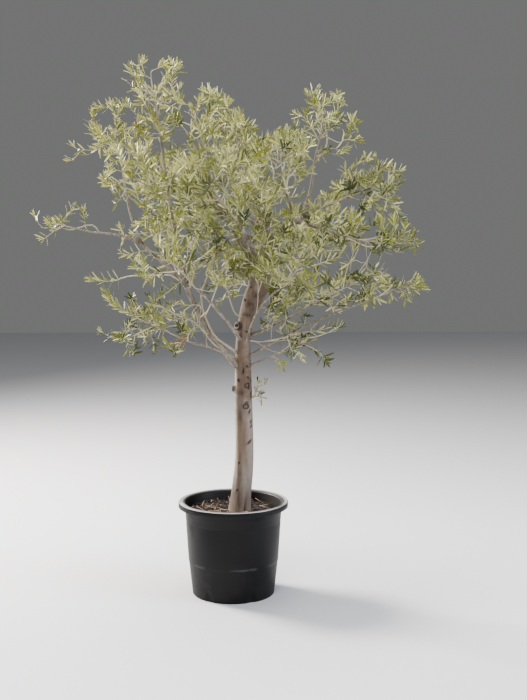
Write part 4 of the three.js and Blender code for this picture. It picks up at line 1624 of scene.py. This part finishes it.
def makeLeaves(name, leaves, nodes, materials):
    shape, upper, lower = leafShape()
    roots, ways, alongs = (np.array([row[k] for row in leaves]) for k in range(3))
    sizes, chances, rolls = (np.array([row[k] for row in leaves])[:, None] for k in range(3, 6))
    face = unit(alongs - ways * (alongs * ways).sum(axis=1)[:, None]) + leaf["faceUp"] * up
    face = unit(face - ways * (face * ways).sum(axis=1)[:, None])
    across = np.cross(ways, face)
    face, across = (
        face * np.cos(rolls) + across * np.sin(rolls),
        across * np.cos(rolls) - face * np.sin(rolls),
    )
    least, more = leaf["widths"]
    width = sizes * leaf["width"] * (least + more * chances)
    least, more = leaf["droops"]
    droop = leaf["droop"] * sizes * (least + more * chances)
    axes = np.stack([across * width, ways * sizes, face * width, -face * droop], axis=1)
    points, faces = repeated(shape, upper + lower, roots * mm, axes * mm)
    tints = list(leafTints)
    slots = []
    for _, _, _, _, chance, _, tint in leaves:
        slots += [tints.index(tint)] * len(upper)
        # undersides by chance: most in the lit colour, the rest in its painted-shade copy
        slots += [len(tints) + (chance > leaf["litUndersides"])] * len(lower)
    piece = joinedPiece(name, points.tolist(), faces, slots, materials)
    rideOn(piece, "foliage", *nodes)


# Tubes along lines, closed at both ends.
def tubesOf(lines, sides):
    points, faces, slots = [], [], []
    for line in lines:
        rows = line["points"]
        last = len(rows) - 1
        start = len(points)
        turns = np.arange(sides) * math.tau / sides
        for i, (centre, side, across) in enumerate(ringFrames(rows)):
            radius = line["radii"][0] + (line["radii"][1] - line["radii"][0]) * i / last
            spokes = np.outer(np.cos(turns), side) + np.outer(np.sin(turns), across)
            points += list(centre + spokes * radius)
        for i in range(last):
            for k in range(sides):
                a, b = start + i * sides + k, start + i * sides + (k + 1) % sides
                faces.append((a, a + sides, b + sides, b))
        faces.append(tuple(range(start, start + sides)))
        faces.append(tuple(reversed(range(start + last * sides, start + (last + 1) * sides))))
        slots += [line["tint"]] * (last * sides + 2)
    return np.array(points), faces, slots


# The centre and two square axes of each ring along a line of points.
def ringFrames(rows):
    side = None
    for i, row in enumerate(rows):
        along = unit(rows[min(i + 1, len(rows) - 1)] - rows[max(i - 1, 0)])
        if side is None:
            side = np.array([1.0, 0, 0]) if abs(along[2]) > 0.9 else up
        side = unit(side - along * (side @ along))
        yield row, side, np.cross(side, along)


twigTints = {
    "twigGrey": (0.265, 0.232, 0.180),
    "twigTan": (0.340, 0.298, 0.225),
    "twigPale": (0.470, 0.430, 0.340),
    "twigYoung": (0.340, 0.335, 0.180),
}


def makeTwigs(name, lines, nodes, materials):
    for k, line in enumerate(lines):
        line["tint"] = {"stem": k % 2, "shoot": 1 + k % 3}.get(line["kind"], 1 + k % 2)
    points, faces, slots = tubesOf(lines, 5)
    piece = joinedPiece(name, (points * mm).tolist(), faces, slots, materials, smooth=True)
    rideOn(piece, "limb_bark", *nodes)


# Bark: the trunk's is smooth, tan and grey in long streaks, darker and redder between its knots;
# the limbs' is greyer.
bark = {
    "tan": (0.196, 0.145, 0.111),
    "brown": (0.106, 0.071, 0.052),
    "grey": (0.252, 0.221, 0.197),
    # a painted highlight along the trunk's left edge
    "litEdge": (0.430, 0.385, 0.330),
    # dark of the scars, and of the painted shade in the trunk's crevice and at the limbs' feet
    "scarAndShade": (0.014, 0.009, 0.007),
    "limbTan": (0.190, 0.158, 0.125),
    "limbBrown": (0.095, 0.073, 0.057),
    "limbGrey": (0.330, 0.300, 0.255),
}

# Marks on the trunk. Each kind pushes its rim and its middle out or in, and darkens them: an eye is
# the pale scar of a twig in a dark ring, a spot is a dark dent, a slit a long one, a stain is flat.
markKinds = {
    "eye": (1.8, -1.4, 1.0, 0.35),
    "spot": (1.3, -3.5, 0.3, 1.0),
    "slit": (0.9, -3.5, 0.25, 1.0),
    "stain": (0.4, -0.6, 0.15, 0.5),
    "blotch": (0.8, -1.4, 0.35, 0.65),
    "stub": (2.0, 0.0, 0.88, 0.92),
}
# Where they are: height in metres, degrees to the right of the front, half width and half height in
# millimetres, how far they lean in degrees, and how far a stub stands out.
marks = [
    ("eye", 0.800, 15, 11, 9, 0, 0),
    ("eye", 0.815, 18, 6, 5, 0, 0),
    ("slit", 0.779, 42, 15, 6.5, 58, 0),
    ("slit", 0.735, 50, 13, 5, 58, 0),
    ("slit", 0.716, 51, 12, 5, 50, 0),
    ("slit", 0.652, 33, 19, 6, 35, 0),
    ("spot", 0.563, -35, 5, 6, 0, 0),
    ("spot", 0.448, -27, 5, 5, 0, 0),
    ("stub", 0.873, -86, 10, 13, 0, 17),
    ("eye", 0.886, 24, 9, 9, 0, 0),
    ("slit", 0.947, -2, 15, 4, 80, 0),
    ("slit", 0.919, 34, 9, 4, -35, 0),
    ("slit", 0.966, 28, 8, 4, -20, 0),
    ("slit", 0.880, 38, 13, 6, 80, 0),
    ("spot", 0.908, -37, 6, 9, 20, 0),
    ("slit", 0.908, 58, 12, 4, 80, 0),
    ("slit", 0.846, 56, 20, 4.5, 85, 0),
    ("stain", 0.857, -20, 18, 14, 0, 0),
    ("stain", 0.760, -25, 12, 30, 0, 0),
    ("stub", 1.131, -55, 15, 15, 0, 19),
    ("slit", 1.112, 26, 15, 4, -8, 0),
    ("blotch", 1.184, 6, 22, 9, 4, 0),
    ("spot", 1.236, -46, 8, 7, 0, 0),
    ("blotch", 1.228, 4, 24, 15, 8, 0),
    ("blotch", 1.266, 22, 15, 17, 20, 0),
    ("spot", 1.292, -34, 5, 6, 0, 0),
    ("stain", 1.215, 25, 14, 26, 10, 0),
    ("eye", 0.690, 150, 9, 10, 0, 0),
    ("stub", 0.985, 140, 8, 9, 0, 9),
    ("spot", 1.060, -150, 7, 8, 0, 0),
    ("slit", 0.540, 175, 16, 4, 75, 0),
    ("eye", 0.840, -135, 8, 8, 0, 0),
    ("spot", 1.200, 120, 7, 7, 0, 0),
]


# A closed tube from a grid that is rolled up. shapeAt(i, turn) gives ring i's radius and how dark
# the bark is there.
def rolledTube(rows, sides, shapeAt):
    bm = bmesh.new()
    dark = bm.verts.layers.float.new("dark")
    frames = list(ringFrames(rows))
    bmesh.ops.create_grid(bm, x_segments=sides, y_segments=len(rows) - 1, size=1)
    for vert in bm.verts:
        i = round((vert.co.y + 1) / 2 * (len(rows) - 1))
        turn = math.pi * (vert.co.x + 1)
        centre, side, across = frames[i]
        radius, vert[dark] = shapeAt(i, turn)
        vert.co = (centre + (side * math.sin(turn) + across * math.cos(turn)) * radius) * mm
    bmesh.ops.remove_doubles(bm, verts=bm.verts[:], dist=1e-6)
    bmesh.ops.holes_fill(bm, edges=[edge for edge in bm.edges if edge.is_boundary], sides=0)
    bmesh.ops.recalc_face_normals(bm, faces=bm.faces[:])
    return bm


def turnBetween(first, second):
    return (first - second + math.pi) % math.tau - math.pi


# What the marks do to the trunk at a height and turn: how far they push the bark out, and how
# dark they make it. A mark is felt for its reach above and below it, in millimetres. The other
# sizes are in shares of its half width.
markShape = {"reach": 60, "rim": 0.32, "middle": 0.8, "stub": 1.1, "hollow": (0.8, 0.5)}


def markAt(z, turn, radius):
    push = shade = 0
    hollowDepth, hollowWidth = markShape["hollow"]
    for kind, height, degrees, wide, high, lean, out in marks:
        above = z - height / mm
        if abs(above) > markShape["reach"]:
            continue
        aside = turnBetween(turn, math.radians(degrees)) * radius
        lean = math.radians(lean)
        along = (aside * math.cos(lean) + above * math.sin(lean)) / wide
        across = (above * math.cos(lean) - aside * math.sin(lean)) / high
        near = math.hypot(along, across)
        rim = math.exp(-(((near - 1) / markShape["rim"]) ** 2))
        middle = math.exp(-((near / markShape["middle"]) ** 4))
        rimPush, middlePush, rimShade, middleShade = markKinds[kind]
        push += rimPush * rim + middlePush * middle
        if out:
            hollow = hollowDepth * math.exp(-((near / hollowWidth) ** 2))
            push += out * (math.exp(-((near / markShape["stub"]) ** 4)) - hollow)
        shade = max(shade, rimShade * rim, middleShade * middle)
    return push, shade


def makeTrunk(limbs):
    line, girth = limbs["trunk"]["line"], limbs["trunk"]["girth"]
    shares = np.linspace(trunk["firstRing"], 1, trunk["rings"])
    rows = [line.at(share) for share in shares]
    creviceTurn, creviceWidth, creviceDepth, creviceHeight, creviceReach = trunk["crevice"]
    swellTurn, swellOut, swellLow, swellHigh, steepness = trunk["swelling"]
    tapered, taperFrom, taperOver = trunk["topTaper"]
    (fluteFine, fluteLong, flute), (ridgeFine, ridgeLong, ridge) = trunk["flutes"], trunk["ridges"]
    rippleFine, rippleLong, rippled = trunk["ripple"]

    def shapeAt(i, turn):
        z = rows[i][2]
        fade = math.exp(-(z - soil["level"]) / trunk["flareHeight"])
        lobes = trunk["flare"] * fade * (0.5 + 0.5 * math.cos(trunk["lobes"] * turn + trunk["lobeTurn"]))
        spot = Vector((math.sin(turn), math.cos(turn), 0))
        flutes = noise.noise(spot * fluteFine + Vector((4.1, 0, z * fluteLong))) * flute
        ridges = noise.noise(spot * ridgeFine + Vector((0, 0, z * ridgeLong))) * ridge
        ripple = noise.fractal(spot * rippleFine + Vector((0, 0, z * rippleLong)), 0.8, 2.0, 3) * rippled
        taper = 1 - tapered * max(0, (shares[i] - taperFrom) / taperOver) ** 2
        radius = girth.at(shares[i])[0] * taper * (1 + lobes + flutes + ridges + ripple)
        across = turnBetween(turn, creviceTurn) / creviceWidth
        crevice = math.exp(-(across**2) - ((z - creviceHeight) / creviceReach) ** 2)
        push, shade = markAt(z, turn, radius)
        risen = min(1, max(0, (z - swellLow) / (swellHigh - swellLow)))
        swollen = risen * max(0, math.cos(turn - swellTurn))
        push += swellOut * swollen**steepness * taper
        # the crevice at the foot is also darkened: painted shade in its groove
        return radius + push - creviceDepth * crevice, max(shade, 0.8 * crevice)

    bm = rolledTube(rows, trunk["sides"], shapeAt)
    rideOn(pieceFrom(bm, "trunkBark", [trunkMaterial()], smooth=True), "trunk_bark", "trunk")


limbShape = {
    # limbs that are slimmer than their solids, so that their knuckles stay within these
    "slim": {
        "limb_front_right": 0.7,
        "limb_right_low": 0.8,
        "limb_right_tip": 0.8,
        "limb_under_right": 0.75,
    },
    "rings": (12, 8),  # at least, and how far apart
    "sides": (18, 12, 9),  # of a thick limb and of a thin one, and the radius that parts them
    "hidden": (0.7, 8),  # inside its parent: of the parent's radius, and the least radius
    "collar": (0.35, 2.2),  # how much thicker its foot is, and over how many of its radii
    "knuckles": (0.2, 0.035),  # how much thicker they are, and how close
    "wander": (0.012, 5, 0.5),  # how close its crooks are, and how far out, at most and of its radius
    "settles": 6,  # the share of it, one part in this many, that each end takes to wander
    "rough": (0.1, 1.3, 0.03),
    # painted shade where a limb leaves its parent
    "paintedFootShade": (0.5, 14),  # how dark, and how far up
}


def makeLimb(name, limb, material):
    line, parent = limb["line"], limb["parent"]
    length = lengthOf(sampled(line, 12))
    start, end = limb["radii"][0], limb["radii"][-1]
    seed = sum(map(ord, name)) % 97
    hiddenShare, leastRadius = limbShape["hidden"]
    parentRadius = parent["radii"][min(int(limb["at"] * 20), len(parent["radii"]) - 1)]
    hidden = hiddenShare * max(parentRadius, leastRadius)
    slim = limbShape["slim"].get(name, 1)
    leastRings, ringStep = limbShape["rings"]
    collarSize, collarReach = limbShape["collar"]
    knuckleSize, knuckleFine = limbShape["knuckles"]
    wanderFine, wanderMost, wanderShare = limbShape["wander"]
    roughness, roughFine, roughLong = limbShape["rough"]
    footShade, footReach = limbShape["paintedFootShade"]
    rows, sizes = [], []
    for share in np.linspace(0, 1, max(leastRings, int(length / ringStep))):
        base = (start + (end - start) * share) * slim
        gone = share * length
        out = max(gone - hidden, 0)
        collar = 1 + collarSize * math.exp(-out / (collarReach * base))
        knuckle = 1 + knuckleSize * max(0, noise.noise(Vector((gone * knuckleFine, seed, 0))))
        wander = noise.noise_vector(Vector((gone * wanderFine, seed * 1.7, 3.1)))
        free = min(min(share, 1 - share) * limbShape["settles"], 1) * min(wanderMost, wanderShare * base)
        rows.append(line.at(share) + np.array(wander) * free)
        # the foot of the limb darkened: painted shade where it leaves its parent
        sizes.append((base * collar * knuckle, footShade * math.exp(-out / footReach), gone))

    def shapeAt(i, turn):
        size, shade, gone = sizes[i]
        spot = (math.sin(turn) * roughFine, math.cos(turn) * roughFine + seed, gone * roughLong)
        return size * (1 + roughness * noise.noise(Vector(spot))), shade

    thickSides, thinSides, thickFrom = limbShape["sides"]
    bm = rolledTube(rows, thickSides if start > thickFrom else thinSides, shapeAt)
    rideOn(pieceFrom(bm, name + "_bark", [material], smooth=True), "limb_bark", name)


def barkMaterial(name, tan, brown, grey, scale, stretch):
    material, tree, shader = newMaterial(name, tan, 0.75)
    place = objectPlace(tree)
    streaks = useGroup(tree, grain, place, Scale=scale, Stretch=stretch)
    colour = ramp(tree, streaks["Mask"], (0.32, brown), (0.50, tan), (0.70, grey))
    tree.links.new(spanned(tree, streaks["Mask"], 0.3, 0.7, 0.64, 0.84), shader.inputs["Roughness"])
    return material, tree, shader, place, streaks, colour


# Dark scars, and painted shade in the trunk's crevice and at the limbs' feet, from the dark attribute.
def darkened(tree, shader, colour):
    scarsAndShade = node(tree, "ShaderNodeAttribute", attribute_name="dark").outputs["Fac"]
    colour = mixColours(tree, product(tree, scarsAndShade, 0.94), colour, bark["scarAndShade"])
    tree.links.new(colour, shader.inputs["Base Color"])


# Where the trunk's colours change: from, to, and how much there is of them at both. The right side
# is greyest, as painted light, the left front brownest, as painted shade, the left edge pale, as a
# painted highlight, and the stretch of the knots redder.
barkRanges = {
    "greyHeight": (1.0, 0.6, 0.15, 0.6),
    "rightAside": (0.046, 0.070, 0.0, 0.65),
    "rightHeight": (0.86, 0.72),
    "leftAside": (0.044, 0.026, 0.0, 0.5),
    "edgeAside": (0.020, 0.010),
    "offEdge": (0.0, 1.0, 1.0, 0.0),
    "aboveFoot": (0.42, 0.56),
    "redHeight": (0.05, 0.3, 0.65, 0.1),
}
knotHeight = 0.93


def trunkMaterial():
    material, tree, shader, place, streaks, colour = barkMaterial(
        "trunkBark", bark["tan"], bark["brown"], bark["grey"], 38.0, (1, 1, 0.11)
    )
    ranges = barkRanges
    height, aside = axisOf(tree, place, "Z"), axisOf(tree, place, "X")
    atEdge = spanned(tree, aside, *ranges["edgeAside"])
    offEdge, aboveFoot = (atEdge, ranges["offEdge"]), (height, ranges["aboveFoot"])
    knots = awayFrom(tree, height, knotHeight)
    greyer = product(tree, patchesAt(tree, place, 11.0, 0.6), spanned(tree, height, *ranges["greyHeight"]))
    # painted light: the right side of the lower trunk greyer
    right = inRanges(tree, (aside, ranges["rightAside"]), (height, ranges["rightHeight"]))
    # painted shade: the left front browner, off the edge and above the foot
    shadedBrownLeft = inRanges(tree, (aside, ranges["leftAside"]), offEdge, aboveFoot)
    # painted highlight along the left edge, above the foot
    edge = product(tree, atEdge, inRanges(tree, aboveFoot), 0.7)
    redder = product(tree, patchesAt(tree, place, 19.0, 0.7), spanned(tree, knots, *ranges["redHeight"]))
    layers = [(greyer, "grey"), (right, "grey"), (shadedBrownLeft, "brown"), (edge, "litEdge"), (redder, "brown")]
    for share, paint in layers:
        colour = mixColours(tree, share, colour, bark[paint])
    darkened(tree, shader, colour)
    addBump(tree, shader, streaks["Height"], 0.6, 0.003)
    return material


def limbMaterial():
    material, tree, shader, place, streaks, colour = barkMaterial(
        "limbBark", bark["limbTan"], bark["limbBrown"], bark["limbGrey"], 70.0, (1, 1, 0.5)
    )
    greyer = product(tree, patchesAt(tree, place, 20.0, 0.6), 0.5)
    darkened(tree, shader, mixColours(tree, greyer, colour, bark["limbGrey"]))
    addBump(tree, shader, streaks["Height"], 0.5, 0.0015)
    return material


# The crown's pieces: a mass's middle is at the back or not, then to the left, and high or low.
regionBorders = {"back": 200, "backMiddle": 120, "high": 1650, "middle": -100}


def regionOf(mass):
    x, y, z = mass["centre"]
    if y > regionBorders["back"]:
        return "BackLeft" if x < regionBorders["backMiddle"] else "BackRight"
    level = "High" if z > regionBorders["high"] else "Low"
    return level + ("Left" if x < regionBorders["middle"] else "Right")


def makeTree():
    limbs = growLimbs()
    print("trunk")
    makeTrunk(limbs)
    print("limbs")
    material = limbMaterial()
    for name, limb in limbs.items():
        if name != "trunk":
            makeLimb(name, limb, material)
    print("foliage")
    carriers = {name: limb["line"] for name, limb in limbs.items()}
    regions = {}
    for index, mass in enumerate(masses):
        allLines, allLeaves, nodes = regions.setdefault(regionOf(mass), ([], [], []))
        lines, leaves = growMass(mass, index, limbs, carriers)
        allLines += lines
        allLeaves += leaves
        nodes.append("foliage_" + mass["name"])
    byName = {mass["name"]: mass for mass in masses}
    for index, (name, *_) in enumerate(fills):
        allLines, allLeaves, _ = regions[regionOf(byName[name])]
        lines, leaves = growFill(index, limbs)
        allLines += lines
        allLeaves += leaves
    allMaterials = leafMaterials()
    barks = [newMaterial(name, colour, 0.8)[0] for name, colour in twigTints.items()]
    for region, (lines, leaves, nodes) in regions.items():
        makeTwigs("twigs" + region, lines, nodes, barks)
        makeLeaves("leaves" + region, leaves, nodes, allMaterials)
        print("  ", region, len(lines), "twigs", len(leaves), "leaves")


print("camera and studio")
addCamera()
addStudio()
print("pot")
makePot()
print("soil")
makeSoil()
makeLitter()
makeTree()
